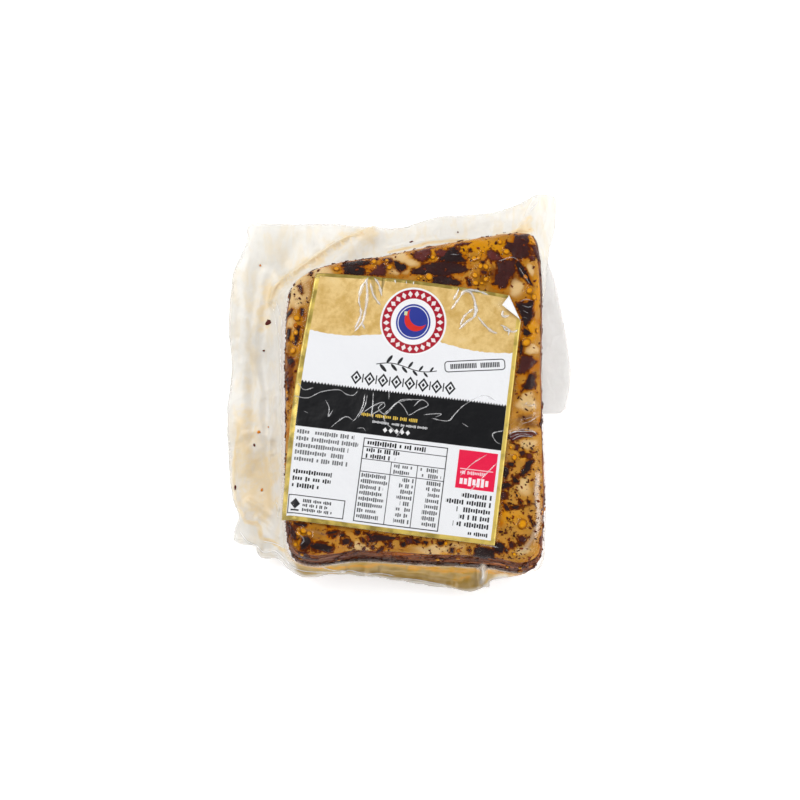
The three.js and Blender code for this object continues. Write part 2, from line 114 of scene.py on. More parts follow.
# The large flakes: the shade from 0, blackish, to 1, maroon, and the broken outline in the pack's plan
FLAKE_OUTLINES: tuple[tuple[float, Line], ...] = (
    (0.1, ((-25.9, 48.1), (-21.6, 49.4), (-16.8, 50.5), (-13, 49.4), (-13.8, 47.8), (-19.4, 47.2),
    (-24.2, 46.9))), (0.0, ((-24.2, 47.4), (-19, 47.2), (-15.5, 46.3), (-15.1, 44.5), (-16.4, 42.9),
    (-24.1, 43.6))), (0.3, ((-12.5, 50.8), (-11.2, 51.5), (-9.3, 51.2), (-10.8, 50.2))), (0.7,
    ((-13.4, 43.3), (-11.6, 44.9), (-9.1, 46.7), (-9.9, 48.1), (-7.3, 48.3), (-6, 46.7), (-6.7, 43))), (0.5,
    ((-8.2, 50.4), (-6, 51.3), (-4.1, 50.9), (-3, 49.2), (-4.7, 48.5), (-6, 50.2))), (0.0, ((-2.6, 49),
    (-1.7, 49.9), (0.4, 47.9), (1.7, 48.3), (3, 46.7), (1.7, 45.4), (0, 44.5), (-1.7, 46))), (0.9,
    ((6.9, 54.4), (13.4, 55.8), (13, 51.9), (11.2, 50.3), (9.1, 49), (8.6, 50.1), (5.6, 51.1))), (0.35,
    ((4.3, 44.9), (7.3, 46.7), (13.4, 48.6), (19.4, 49.3), (26.8, 48.2), (30.2, 45), (24.1, 44),
    (18.5, 42.9), (10.8, 43.8), (7.8, 41.8), (5.6, 42.9))), (0.3, ((13.8, 42.4), (17.7, 43.2), (21.5, 42.7),
    (22.8, 41.3), (26.1, 40.2), (26.3, 38.6), (19.4, 38.9), (14.2, 39.5))), (0.1, ((20.3, 53.9), (23.1, 56),
    (25.9, 53.5), (28.5, 49.2), (21.6, 48.7), (16.4, 49.9), (18.6, 51.9))), (1.0, ((15.6, 53.9),
    (17.7, 54.7), (20.3, 53.8), (19, 51.2), (16, 51.7))), (0.95, ((37.6, 53.9), (39.3, 54.4), (43.2, 52.1),
    (44, 49.7), (39.3, 49.6), (38, 51.5))), (0.45, ((49.8, 61.3), (55.9, 62.3), (55.4, 56.4), (56.2, 54.6),
    (54.9, 51.2), (49.2, 50), (48, 53.5), (45, 55.7), (46.7, 58), (49.3, 57.6))), (0.5, ((41.9, 48.7),
    (46.6, 49.9), (49.9, 49.2), (49.4, 44.2), (47, 41.3), (45.2, 36.8), (40.9, 38.6), (40.7, 41.8),
    (42.5, 44.2))), (0.05, ((49.7, 50.3), (51.8, 48.7), (54.3, 45.1), (55.6, 42.4), (57, 38.6), (55.7, 38.3),
    (53.8, 41.1), (51.9, 42.4), (50.3, 46.5))), (0.8, ((55.5, 50.8), (57, 52.1), (58.2, 51.3),
    (57.4, 49.9))), (0.6, ((56.7, 56.6), (58.4, 56.6), (60.1, 54.2), (60.9, 50.3), (60, 49.9),
    (58.4, 53.5))), (0.7, ((23.8, 57.1), (26.8, 57.8), (30.3, 57.9), (29.9, 57.2), (26, 56.9))), (0.3,
    ((29.8, 54.8), (30.9, 54.9), (31.1, 54.2), (30.3, 54))), (0.4, ((29.1, 41.8), (30.2, 41.1), (30.8, 38.4),
    (29.7, 38.6))), (0.4, ((34.8, 49.2), (36.5, 49.3), (36.7, 48.3), (35.4, 48.2))), (0.5, ((34.9, 45.1),
    (37.5, 44.5), (37.1, 43.3), (35.4, 43.8))), (0.0, ((49.8, 30.7), (53.7, 30.4), (58, 32.1), (56.9, 29),
    (56.8, 24.1), (53.5, 19.7), (52.5, 23.7), (51.1, 27.2))), (0.1, ((53.1, 19.5), (54.8, 18.4), (56.3, 17),
    (54.3, 15.9), (52.8, 16.6))), (0.55, ((52.1, 7.3), (56.3, 6.5), (58.4, 5.2), (56.3, 2.7), (52.8, -0.4),
    (50, -0.6))), (0.3, ((54.9, -0.7), (57.3, -1), (57.6, -5.4), (55.7, -7.4), (52.9, -7.2), (51.4, -9.2),
    (50.3, -9), (53.4, -5.6))), (0.3, ((51.7, 14.8), (52.6, 11.3), (52.1, 7.8), (51.2, 7.8))), (0.8,
    ((46.1, -26.9), (51.6, -25.8), (56.7, -26.1), (57.9, -27.8), (52.4, -28.2), (47.7, -30.4), (46, -29.5))),
    (0.6, ((48.8, -31.5), (50, -32.1), (49.8, -34.3), (48.7, -33.6))), (0.4, ((50.2, -34.7), (52.3, -34.2),
    (52.9, -35.5), (51, -36.6))), (0.9, ((53.5, -35.8), (55.4, -35.5), (55.6, -37.3), (53.9, -37.7))), (0.1,
    ((45.5, -39.2), (48, -39.4), (47.8, -41), (45.9, -40.5))), (0.05, ((53.1, -39), (56.7, -37.9),
    (55.2, -40.5), (54.7, -42.4), (52.1, -44.8), (50.3, -45.1), (51.3, -42.8), (52.6, -41.6))), (0.15,
    ((47.1, -44.7), (48.6, -45.8), (50.3, -47.8), (47.7, -48))), (0.2, ((44, -40.9), (45.7, -42),
    (45.9, -43.9), (44.4, -46.1), (43.5, -45.2))), (0.15, ((43.1, -48.2), (45.4, -48), (47, -48.8),
    (45.6, -50.1), (42.8, -50.5))), (0.6, ((42.4, -52.5), (44.3, -51.8), (44.9, -53.7), (42.6, -54.8))),
    (0.35, ((43.4, -56.5), (45, -57.6), (46.3, -59.6), (44.4, -59.7))), (0.3, ((46.7, -58.2), (50.2, -57.5),
    (49.2, -59.1), (47.8, -59))), (0.3, ((50, -55.2), (50.6, -55.4), (51.3, -57.1), (50.7, -57.2))), (0.3,
    ((53.7, -55.3), (54.7, -55.7), (54.5, -56.7), (53.6, -56.5))), (0.3, ((53.8, -61.8), (54.8, -62.9),
    (55.9, -66.2), (55, -65.4))), (0.5, ((49.3, -71.2), (51.4, -70.7), (52.8, -71.7), (51.7, -73.2),
    (49.9, -72.8))), (0.1, ((39.6, -73.8), (42.1, -73.2), (43.8, -75.1), (42.7, -77.6), (40.4, -77.7),
    (39.2, -76.1))), (0.4, ((45.5, -73.7), (47.3, -73.6), (47.4, -75.4), (45.9, -75.7))), (0.3,
    ((44.2, -75.3), (45, -76.3), (44.8, -77.6), (43.5, -77))), (0.3, ((-44.7, -64.7), (-38.9, -65.8),
    (-39.3, -66.9), (-43.5, -66))), (0.4, ((-47.7, -64.3), (-45.6, -66), (-43.4, -69.8), (-43.2, -72.4),
    (-45.5, -70.7))), (0.0, ((-40.5, -71.1), (-37.8, -71.1), (-37.1, -73), (-38.8, -75.7), (-41.3, -76.1),
    (-41.5, -74.5))), (0.1, ((-37.5, -73.5), (-31.3, -74), (-27.9, -75.3), (-29.2, -77.4), (-34.2, -76.3),
    (-37.1, -75.7))), (0.45, ((-42.9, -76.8), (-40, -77.1), (-37.1, -79.1), (-38.7, -80.2), (-41.7, -78.9))),
    (0.1, ((-30.5, -69), (-28, -68.7), (-26.1, -68.1), (-26.5, -69.1), (-29.9, -69.8))), (0.1,
    ((-24.8, -69.8), (-23.4, -69.6), (-23.4, -70.8), (-24.6, -70.9))), (0.3, ((-28, -70.2), (-26.7, -70.2),
    (-26.9, -71.2), (-27.8, -71.1))), (0.35, ((-24.2, -72.4), (-22.5, -71.5), (-21.1, -72.1), (-21.3, -73.8),
    (-23.6, -74.2))), (0.4, ((-20.7, -73.1), (-19.6, -73.2), (-20.4, -75), (-21.4, -74.7))), (0.35,
    ((-18.8, -68.1), (-16.5, -68.6), (-17.5, -69.9), (-18.6, -69.4))), (0.3, ((-14.2, -69.2), (-10, -70),
    (-4.6, -70.6), (-0.8, -71.3), (-3.3, -72.1), (-9.2, -72.4), (-12.5, -73.4), (-13.4, -71.9))), (0.5,
    ((-16.1, -70.7), (-14.8, -71.7), (-14.9, -73.4), (-15.9, -73))), (0.5, ((-14.2, -72.6), (-12.9, -73.6),
    (-13.6, -74.8))), (0.5, ((-10.4, -76.9), (-7.3, -75), (-6.7, -75.4), (-9.2, -77.1))), (0.5,
    ((-20, -77.1), (-17.7, -76.3), (-18.3, -77.3))), (0.5, ((-12.3, -74.2), (-10.6, -75.7), (-11.7, -75.6))),
    (0.6, ((-4.5, -72.8), (-3.6, -73), (-3.8, -75.1), (-4.5, -74.9))), (0.5, ((-6.9, -73), (-5.4, -73.6),
    (-6, -74.5))), (0.1, ((0.4, -73.6), (2.1, -72.8), (2.5, -74.5), (1, -75))), (0.6, ((2.1, -71.2),
    (5, -71.6), (5.2, -73.4), (2.9, -73.7))), (0.3, ((5.2, -71.6), (7.1, -72.1), (9, -73.3), (6.7, -73.6))),
    (0.3, ((9.8, -72.4), (11.9, -72.9), (11.3, -73.9), (10, -73.6))), (0.05, ((15.4, -73), (18.1, -72.9),
    (17.9, -74), (16.5, -74.5))), (0.25, ((21.1, -75.5), (22.5, -75.5), (22.3, -77.4), (21, -77))), (0.4,
    ((28.3, -75.7), (29.4, -76.1), (29, -77.4))), (0.15, ((31.3, -75.4), (34.2, -75.1), (39.2, -76.3),
    (39.6, -79.2), (35, -79.5), (30.8, -78.4))), (0.3, ((-39.2, 45.2), (-37.8, 44.9), (-37.9, 43.8),
    (-39, 44.1))), (0.5, ((-44.3, 38.7), (-42.8, 38.9), (-42.2, 37.7), (-42.4, 36.6), (-41.6, 34.9),
    (-42.6, 35.1), (-43.3, 36.8))), (0.15, ((-49.1, 27.7), (-46.1, 27.7), (-47.4, 26.1), (-48.9, 24.6))),
    (0.4, ((-42.7, 28.6), (-41.2, 27.9), (-41.8, 25), (-42.7, 25.2))), (0.2, ((-48.2, 19.7), (-46.9, 19.5),
    (-47.1, 16.8), (-47.9, 14.7), (-48.8, 15.9))), (0.2, ((-44.3, 19.7), (-43, 20.1), (-43.4, 15.7),
    (-44.7, 12.4), (-45.3, 13))), (0.2, ((-48.2, 6.4), (-45.9, 6.1), (-45, 4.9), (-46.9, 3.6), (-48, 4.7))),
    (0.3, ((-48.7, -1.5), (-47.7, -2.3), (-48.1, -4.1))), (0.3, ((-48.1, -4.5), (-47.1, -5.4),
    (-47.5, -7.2))))

# Soft patches of the meat's upper side in plan: middle, half width and half depth
FAT_PATCHES = (
    (50, 37, 3.4, 4.2), (-45, 35, 5.6, 7.5), (-46, 20, 3.4, 5), (-42, 42, 3.8, 1.7), (-1, 45, 6, 2.2),
    (5, 50, 4.6, 2.4), (0, 51.5, 6.5, 2.2), (-35, 44.5, 7, 2.4), (57, 46, 1.7, 3.4), (54, -14, 4.7, 3.4),
    (54, -31, 4.2, 2.5), (56, 10, 3.0, 1.7), (54, -10, 3.0, 1.7), (52, -50, 3.4, 4.4), (17, -76, 11.9, 2.1),
    (-16, -74, 5.5, 2.5), (51, -77, 4.2, 2.1))
GOLD_PATCHES = (
    (35, 56, 16.9, 4.2), (-45, 16, 4, 9), (58, 60, 2.5, 3.4), (4, 52, 2.5, 2.1), (56, 18, 3.8, 5.9),
    (12, -78, 16.9, 2.1), (-41, -69, 5.1, 2.5), (48, -62, 5.9, 5.1), (59, 36, 2.1, 8.5), (51, -36, 5.9, 3.4),
    (17, 52, 4.2, 4.2))
BROWN_PATCHES = (
    (-47, 0, 2.6, 16), (-34, -75, 6, 2.6), (53, -22, 6.8, 3.8), (44.5, -45, 2, 8), (43, 43, 12.7, 5.1),
    (-44, -72, 3, 5.1))


def seen(red: int, green: int, blue: int) -> Colour:
    """Turns a colour as the eye sees it, 0 to 255, into Blender's linear colour."""
    return (*((v / 255) ** 2.2 for v in (red, green, blue)), 1.0)


def ease(value: Array, low: float, high: float) -> Array:
    """Rises smoothly from 0 where value is low to 1 where it is high."""
    t = np.clip((np.asarray(value, float) - low) / (high - low), 0, 1)
    return t * t * (3 - 2 * t)


def rumple(points: Array, size: float, seed: int, octaves: int = 3) -> Array:
    """Gives an uneven value round 0 at each point, by gradient noise.

    Args:
        points: Rows of x, y and z in millimetres.
        size: Width of the largest lumps, in millimetres.
        seed: Which pattern.
        octaves: How many finer patterns lie on the largest.

    Returns:
        One value for each point, mostly between -0.6 and 0.6.
    """
    draw = np.random.default_rng(seed)
    order = draw.permutation(256)
    slopes = draw.normal(size=(256, 3))
    slopes /= np.linalg.norm(slopes, axis=1)[:, None]
    where = np.asarray(points, float) / size + draw.uniform(0, 256, 3)
    found = np.zeros(len(where))
    for octave in range(octaves):
        cell = np.floor(where).astype(int)
        part = where - cell
        fade = part**3 * (part * (6 * part - 15) + 10)
        for corner in np.ndindex(2, 2, 2):
            a, b, c = ((cell + corner) & 255).T
            slope = slopes[order[(order[(order[a] + b) & 255] + c) & 255]]
            near = np.where(corner, fade, 1 - fade).prod(1)
            found += near * ((part - corner) * slope).sum(1) * 1.5 / 2**octave
        where = where * 2.1 + 17.3
    return found


def joined(operation: str, turned: bool = False) -> Callable[["Term", "Term | float"], "Term"]:
    """Makes the method of one operator, which joins two numbers by a Math node.

    Args:
        operation: The node's operation.
        turned: Whether the other number comes first.

    Returns:
        The method.
    """
    def method(term: "Term", other: "Term | float") -> "Term":
        """Joins the term and another number."""
        return term.graph.math(operation, *((other, term) if turned else (term, other)))
    return method


class Term:
    """A number in a shader, which Python's operators join by Math nodes."""

    def __init__(self, graph: "Graph", socket: bpy.types.NodeSocket) -> None:
        """Holds the socket that gives the number, and its graph."""
        self.graph = graph
        self.socket = socket

    def __abs__(self) -> "Term":
        """Drops the sign."""
        return self.graph.math("ABSOLUTE", self)

    __add__, __radd__ = joined("ADD"), joined("ADD", True)
    __sub__, __rsub__ = joined("SUBTRACT"), joined("SUBTRACT", True)
    __mul__, __rmul__ = joined("MULTIPLY"), joined("MULTIPLY", True)
    __truediv__ = joined("DIVIDE")
    __gt__ = joined("GREATER_THAN")
    __lt__ = joined("LESS_THAN")


class Graph:
    """The nodes of one material."""

    def __init__(self, name: str) -> None:
        """Starts a material of that name with an output and no shader."""
        self.material = bpy.data.materials.new(name)
        self.material.use_nodes = True
        self.tree = self.material.node_tree
        self.tree.nodes.clear()
        self.output = self.node("ShaderNodeOutputMaterial")

    def node(self, kind: str, settings: dict[str, Any] | None = None,
             inputs: dict[str | int, Any] | None = None) -> bpy.types.Node:
        """Adds a node.

        Args:
            kind: Blender's type of the node.
            settings: Its properties, which are set first.
            inputs: Values or links of its sockets, by name or number.

        Returns:
            The node.
        """
        made = self.tree.nodes.new(kind)
        for key, value in (settings or {}).items():
            setattr(made, key, value)
        for key, value in (inputs or {}).items():
            source = value.socket if isinstance(value, Term) else value
            if isinstance(source, bpy.types.NodeSocket):
                self.tree.links.new(source, made.inputs[key])
            else:
                made.inputs[key].default_value = source
        return made

    def term(self, output: str | int, kind: str, inputs: dict[str | int, Any], **settings: Any) -> Term:
        """Adds a node and gives one of its outputs as a term."""
        return Term(self, self.node(kind, settings, inputs).outputs[output])

    def math(self, operation: str, *values: Term | float, clamp: bool = False) -> Term:
        """Joins numbers by one Math node."""
        return self.term(0, "ShaderNodeMath", dict(enumerate(values)), operation=operation, use_clamp=clamp)

    def least(self, *values: Term | float) -> Term:
        """Gives the least of some numbers."""
        return reduce(lambda found, value: self.math("MINIMUM", found, value), values)

    def most(self, *values: Term | float) -> Term:
        """Gives the greatest of some numbers."""
        return reduce(lambda found, value: self.math("MAXIMUM", found, value), values)

    def cell(self, value: Term) -> tuple[Term, Term]:
        """Gives the whole number under a number, and what is left of it, from -0.5 to 0.5."""
        whole = self.math("FLOOR", value)
        return whole, value - whole - 0.5

    def ease(self, value: Term, low: float, high: float, start: float = 0, end: float = 1) -> Term:
        """Goes smoothly from start where value is low to end where it is high."""
        ends = {"Value": value, "From Min": low, "From Max": high, "To Min": start, "To Max": end}
        return self.term("Result", "ShaderNodeMapRange", ends, interpolation_type="SMOOTHSTEP")

    def mix(self, share: Term | float, first: Any, second: Any) -> Term:
        """Mixes two colours: the first where share is 0, the second where it is 1."""
        return self.term(2, "ShaderNodeMix", {0: share, 6: first, 7: second}, data_type="RGBA")

    def place(self, stretch: tuple[float, float, float] = (1, 1, 1)) -> Term:
        """Gives the place on the piece in millimetres, stretched on each axis."""
        both = {0: self.term("Object", "ShaderNodeTexCoord", {}), 1: tuple(s / MM for s in stretch)}
        return self.term(0, "ShaderNodeVectorMath", both, operation="MULTIPLY")

    def noise(self, where: Term, size: float, detail: float = 3, distortion: float = 0) -> Term:
        """Gives a cloudy pattern from 0 to 1 with lumps of that size in millimetres."""
        inputs = {"Vector": where, "Scale": 1 / size, "Detail": detail, "Distortion": distortion}
        return self.term("Fac", "ShaderNodeTexNoise", inputs)

    def chance(self, first: Term | float, second: Term | float) -> Term:
        """Gives a number from 0 to 1 that only two whole numbers decide."""
        where = self.term(0, "ShaderNodeCombineXYZ", {0: first, 1: second})
        return self.term("Value", "ShaderNodeTexWhiteNoise", {"Vector": where}, noise_dimensions="3D")

    def attribute(self, name: str) -> Term:
        """Gives a value that the mesh holds under that name."""
        return self.term("Fac", "ShaderNodeAttribute", {}, attribute_name=name, attribute_type="GEOMETRY")

    def bump(self, height: Term, distance: float, strength: float = 1) -> Term:
        """Gives a normal that a height pattern tips, with its distance in millimetres."""
        inputs = {"Height": height, "Distance": distance * MM, "Strength": strength}
        return self.term("Normal", "ShaderNodeBump", inputs)

    def surface(self, **sockets: Any) -> bpy.types.Material:
        """Ends the material in a Principled shader, with its sockets in words joined by _."""
        named = {key.replace("_", " "): value for key, value in sockets.items()}
        made = self.node("ShaderNodeBsdfPrincipled", None, named)
        self.tree.links.new(made.outputs[0], self.output.inputs["Surface"])
        return self.material


def deselect() -> None:
    """Leaves nothing selected, in object mode."""
    if bpy.context.object and bpy.context.object.mode != "OBJECT":
        bpy.ops.object.mode_set(mode="OBJECT")
    bpy.ops.object.select_all(action="DESELECT")


def activate(piece: Piece) -> None:
    """Selects one piece alone and makes it active."""
    deselect()
    piece.select_set(True)
    bpy.context.view_layer.objects.active = piece


def rows_of(held: Any, name: str) -> Array:
    """Gives a value of three numbers that all of a mesh's parts hold, as rows."""
    flat = np.zeros(len(held) * 3)
    held.foreach_get(name, flat)
    return flat.reshape(-1, 3)


def corners_of(mesh: bpy.types.Mesh) -> Array:
    """Gives a mesh's vertices as rows."""
    return rows_of(mesh.vertices, "co")


def normals_of(mesh: bpy.types.Mesh) -> Array:
    """Gives the normal at each vertex as rows."""
    return rows_of(mesh.vertex_normals, "vector")


def below(tree: BVHTree, x: float, y: float) -> tuple[Vector | None, Vector | None]:
    """Gives the place and the normal where a line straight down first meets some pieces, or None."""
    return tree.ray_cast(Vector((x, y, RAY_START)), Vector((0, 0, -1)))[:2]


def move_corners(mesh: bpy.types.Mesh, places: Array) -> None:
    """Puts a mesh's vertices at new places."""
    mesh.vertices.foreach_set("co", places.astype(np.float32).ravel())
    mesh.update()


def note(mesh: bpy.types.Mesh, name: str, values: Array) -> None:
    """Writes one value for each vertex under a name that materials read."""
    held = mesh.attributes.new(name, "FLOAT", "POINT")
    held.data.foreach_set("value", values.astype(np.float32))


def piece_from(name: str, places: Array, faces: Sequence[Sequence[int]]) -> Piece:
    """Makes a piece from joined arrays, with places in millimetres."""
    mesh = bpy.data.meshes.new(name)
    mesh.from_pydata((places * MM).tolist(), [], [list(f) for f in faces])
    piece = bpy.data.objects.new(name, mesh)
    bpy.context.collection.objects.link(piece)
    return piece


def finish_piece(piece: Piece, materials: Sequence[bpy.types.Material], node: str) -> None:
    """Dresses a piece and hands it to the frame.

    Args:
        piece: The piece, at the origin.
        materials: Its materials, in the order of their face indices.
        node: The node that the piece stands for.
    """
    for material in materials:
        piece.data.materials.append(material)
    activate(piece)
    bpy.ops.object.shade_smooth()
    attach(piece, "root")
    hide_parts(node)
    LOG.info("%s: %d faces", piece.name, len(piece.data.polygons))


@dataclass(frozen=True)
class PackForm:
    """The pack's form in millimetres, from the same named sizes as its solid."""

    middle: tuple[float, float] = (6.0, -10.0)
    block_height: float = 36.0
    shoulder: float = 7.0
    foot: float = 6.0
    seam_height: float = 16.0
    rest_height: float = 3.4
    drape_reach: float = 7.0
    web_reach: float = 1.4
    ripple: float = 1.1
    groove: dict[str, float] = field(default_factory=lambda: {
        "start": 47.0, "y": -25.0, "run": 5.0, "slope": 0.22, "width": 2.6, "depth": 1.3})
    block_edge: Line = (
        (61.2, 0), (61.3, 52), (58.5, 62.5), (51, 64.2), (20, 59.3), (-12, 53), (-35, 48.3), (-46, 41.5),
        (-49.2, 30), (-49.3, -20), (-48.2, -66), (-45.5, -76.5), (-38, -79.8), (-17, -77.8), (8, -79.2),
        (38, -80.8), (51, -83.2), (58.6, -79.6), (61, -66))
    bag_edge: Line = (
        (62.3, 0), (62.6, 34), (64.6, 44), (66.8, 62), (70.3, 78), (69.8, 89), (62, 89.3), (54.3, 86),
        (45, 83), (27, 80.8), (18, 80), (0, 75.6), (-18, 75), (-31.6, 76.6), (-59, 76.2), (-68.3, 75),
        (-68, 69), (-74.3, 56), (-76.1, 38), (-76.1, 24), (-74.6, 12), (-75.9, -7), (-75.4, -29),
        (-72.8, -49), (-70, -57), (-72, -64.5), (-70, -68.8), (-62, -70.3), (-60.5, -74.6), (-52, -76.6),
        (-45, -82.4), (-40, -84.2), (-32, -83.6), (-17, -83.4), (0, -85.6), (17, -87.8), (29.5, -89.8),
        (36.5, -88.2), (39, -86), (52, -84), (60.2, -80.6), (62.4, -66))
    pleats: tuple[tuple[tuple[float, float], tuple[float, float], float, float], ...] = (
        ((-36, 50), (-11, 72), 2.6, 3.2), ((57, 66), (62, 88), 2.4, 3.0), ((-46, -76), (-68, -58), 1.8, 3.0),
        ((37, -81), (37, -88), 1.6, 2.4), ((-52, 40), (-62, 66), 1.6, 4.0))

    def reach(self, outline: Sequence[tuple[float, float]], angle: Array) -> Array:
        """Tells how far an outline lies from the middle.

        Args:
            outline: The outline's corners, which a smooth line passes through.
            angle: Directions in radians.

        Returns:
            The distance in each direction.
        """
        offset = smooth_line(outline) - self.middle
        turned = np.arctan2(offset[:, 1], offset[:, 0])
        order = np.argsort(turned)
        return np.interp(angle, turned[order], np.hypot(*offset.T)[order], period=TURN)

    def face_height(self, x: Array, y: Array) -> Array:
        """Gives the upper face's height without its rounded edge."""
        g = self.groove
        sway = 0.55 * np.sin(x / 17 + 0.6) * np.cos(y / 23) + 0.3 * np.sin((x + y) / 11)
        across = (y - g["y"] - g["slope"] * (x - g["start"])) / g["width"]
        near = ease(x, g["start"], g["start"] + g["run"])
        return self.block_height + sway - g["depth"] * near * np.exp(-across * across)

    def inset(self, x: Array, y: Array) -> Array:
        """Tells how far points lie inside the block's edge, measured from the middle."""
        dx, dy = x - self.middle[0], y - self.middle[1]
        return self.reach(self.block_edge, np.arctan2(dy, dx)) - np.hypot(dx, dy)

    def top_height(self, x: Array, y: Array, steepest: float = math.pi / 2) -> Array:
        """Gives the upper face's height with its rounded edge.

        Args:
            x: Places from left to right.
            y: Places from near to far.
            steepest: The greatest slope that it is held to, in radians.

        Returns:
            The height at each place.
        """
        past = np.maximum(self.shoulder - self.inset(x, y), 0)
        turned = np.arcsin(np.minimum(past / self.shoulder, math.sin(steepest)))
        beyond = np.maximum(past - self.shoulder * np.sin(turned), 0)
        slope = math.tan(steepest) if steepest < math.pi / 2 else 0
        return self.face_height(x, y) - self.shoulder * (1 - np.cos(turned)) - slope * beyond

    def margin_height(self, x: Array, y: Array, out: Array, web: Array) -> Array:
        """Gives the height of the bag's margin.

        Args:
            x: Places from left to right.
            y: Places from near to far.
            out: Their distance out from the block.
            web: What the film that leaves the block's shoulder adds.

        Returns:
            The height of the upper layer.
        """
        hang = (self.seam_height - self.rest_height) * np.exp(-out / self.drape_reach)
        loose = 1 - np.exp(-out / 8)
        wave = np.sin(x / 6.5 + 1.4 * np.sin(y / 19)) + np.sin(y / 7.5 + x / 31)
        lift = np.zeros_like(x)
        for start, end, height, width in self.pleats:
            lift += height * np.exp(-(line_distance(x, y, (start, end)) / width) ** 2)
        return self.rest_height + hang + web + self.ripple * loose * wave + lift * np.minimum(1, out / 2)


def smooth_line(points: Sequence[tuple[float, float]], per_span: int = 30, closed: bool = True) -> Array:
    """Draws a smooth line through points, with more speed on longer spans.

    Args:
        points: The points in order.
        per_span: How many steps each span has.
        closed: Whether the line returns to its first point.

    Returns:
        Places along the line.
    """
    here = np.array(points, float)
    if not closed:
        here = np.vstack([here, 2 * here[-1] - here[-2], 2 * here[0] - here[1]])
    before, after, beyond = np.roll(here, 1, 0), np.roll(here, -1, 0), np.roll(here, -2, 0)
    spans = (here - before, after - here, beyond - after)
    root = [np.sqrt(np.linalg.norm(span, axis=1))[:, None] for span in spans]
    leave = (here - before) / root[0] - (after - before) / (root[0] + root[1]) + (after - here) / root[1]
    arrive = (after - here) / root[1] - (beyond - here) / (root[1] + root[2]) + (beyond - after) / root[2]
    t = (np.arange(per_span) / per_span)[None, :, None]
    here, after, leave, arrive = (v[:, None] for v in (here, after, leave * root[1], arrive * root[1]))
    curve = (here * (2 * t**3 - 3 * t**2 + 1) + leave * (t**3 - 2 * t**2 + t)
             + after * (3 * t**2 - 2 * t**3) + arrive * (t**3 - t**2))
    return (curve if closed else curve[:-3]).reshape(-1, 2)


def line_distance(x: Array, y: Array, line: Sequence[tuple[float, float]]) -> Array:
    """Gives the distance in plan from points to a line of straight stretches.

    Args:
        x: The points' places from left to right.
        y: Their places from near to far.
        line: The line's corners.

    Returns:
        The distance of each point.
    """
    found = np.full(np.shape(x), np.inf)
    for (ax, ay), (bx, by) in zip(line, line[1:]):
        run = (bx - ax, by - ay)
        along = np.clip(((x - ax) * run[0] + (y - ay) * run[1]) / (run[0] ** 2 + run[1] ** 2), 0, 1)
        found = np.minimum(found, np.hypot(x - ax - along * run[0], y - ay - along * run[1]))
    return found


class Blank:
    """A square lattice with a wall under its rim and a closed base, to be laid on a form.

    Its rings become the rings of the form's upper side, and its wall's rows the lower ones.
    """

    def __init__(self, name: str, cells: int, rows: int) -> None:
        """Makes the lattice.

        Args:
            name: The piece's name.
            cells: How many cells each side has, an even number.
            rows: How many rows the wall has.
        """
        deselect()
        bpy.ops.mesh.primitive_grid_add(x_subdivisions=cells, y_subdivisions=cells, size=cells)
        self.piece = bpy.context.object
        self.piece.name = self.piece.data.name = name
        bpy.ops.object.mode_set(mode="EDIT")
        bpy.ops.mesh.select_all(action="SELECT")
        bpy.ops.mesh.region_to_loop()
        for _ in range(rows):
            bpy.ops.mesh.extrude_edges_move(TRANSFORM_OT_translate={"value": (0, 0, -1)})
        bpy.ops.mesh.edge_face_add()
        bpy.ops.mesh.select_all(action="SELECT")
        bpy.ops.mesh.normals_make_consistent(inside=False)
        bpy.ops.object.mode_set(mode="OBJECT")
        self.sort_faces()
        self.rings = cells // 2
        self.directions = 8 * self.rings
        lattice = np.rint(corners_of(self.piece.data)).astype(int)
        a, b, level = lattice.T
        ring = np.maximum(abs(a), abs(b))
        self.lattice = lattice
        self.row = ring - level
        k = np.maximum(ring, 1)
        sides = [(a == ring) & (b < ring) & (b > -ring), b == ring, a == -ring]
        step = np.select(sides, [b, 2 * k - a, 4 * k - b], 6 * k + a)
        step = np.where((a == ring) & (b == -ring), -k, step)
        self.share = (step / (8 * k)) % 1.0

    def sort_faces(self) -> None:
        """Puts the faces in one order, because an extrusion gives them in another order in each run."""
        mesh = self.piece.data
        corners = corners_of(mesh).tolist()
        faces = [list(face.vertices) for face in mesh.polygons]
        firsts = [face.index(min(face)) for face in faces]
        mesh.clear_geometry()
        mesh.from_pydata(corners, [], sorted(face[i:] + face[:i] for face, i in zip(faces, firsts)))
        mesh.update()

    def lay(self, table: Array) -> None:
        """Lays the lattice on a form.

        Args:
            table: Places in millimetres by row and direction, one row more than rings and wall rows.
        """
        column = self.share * self.directions
        low = np.floor(column).astype(int)
        part = (column - low)[:, None]
        first = table[self.row, low % self.directions]
        second = table[self.row, (low + 1) % self.directions]
        move_corners(self.piece.data, (first * (1 - part) + second * part) * MM)


def even_directions(form: PackForm, count: int) -> Array:
    """Gives directions that are even along the block's edge, with the lattice's corners at its own.

    Args:
        form: The pack's form.
        count: How many directions.

    Returns:
        Angles from the middle, in radians.
    """
    corner_angles = np.radians([-52.4, 54, 135.3, 230.4, 307.6])
    corner_shares = np.array([-1, 1, 3, 5, 7]) / 8
    fine = np.linspace(corner_angles[0], corner_angles[-1], 4001)
    r = form.reach(form.block_edge, fine)
    walk = np.concatenate([[0], np.cumsum(np.hypot(np.diff(r * np.cos(fine)), np.diff(r * np.sin(fine))))])
    share = np.arange(count) / count
    share = np.where(share > corner_shares[-1], share - 1, share)
    return np.interp(np.interp(share, corner_shares, np.interp(corner_angles, fine, walk)), walk, fine)


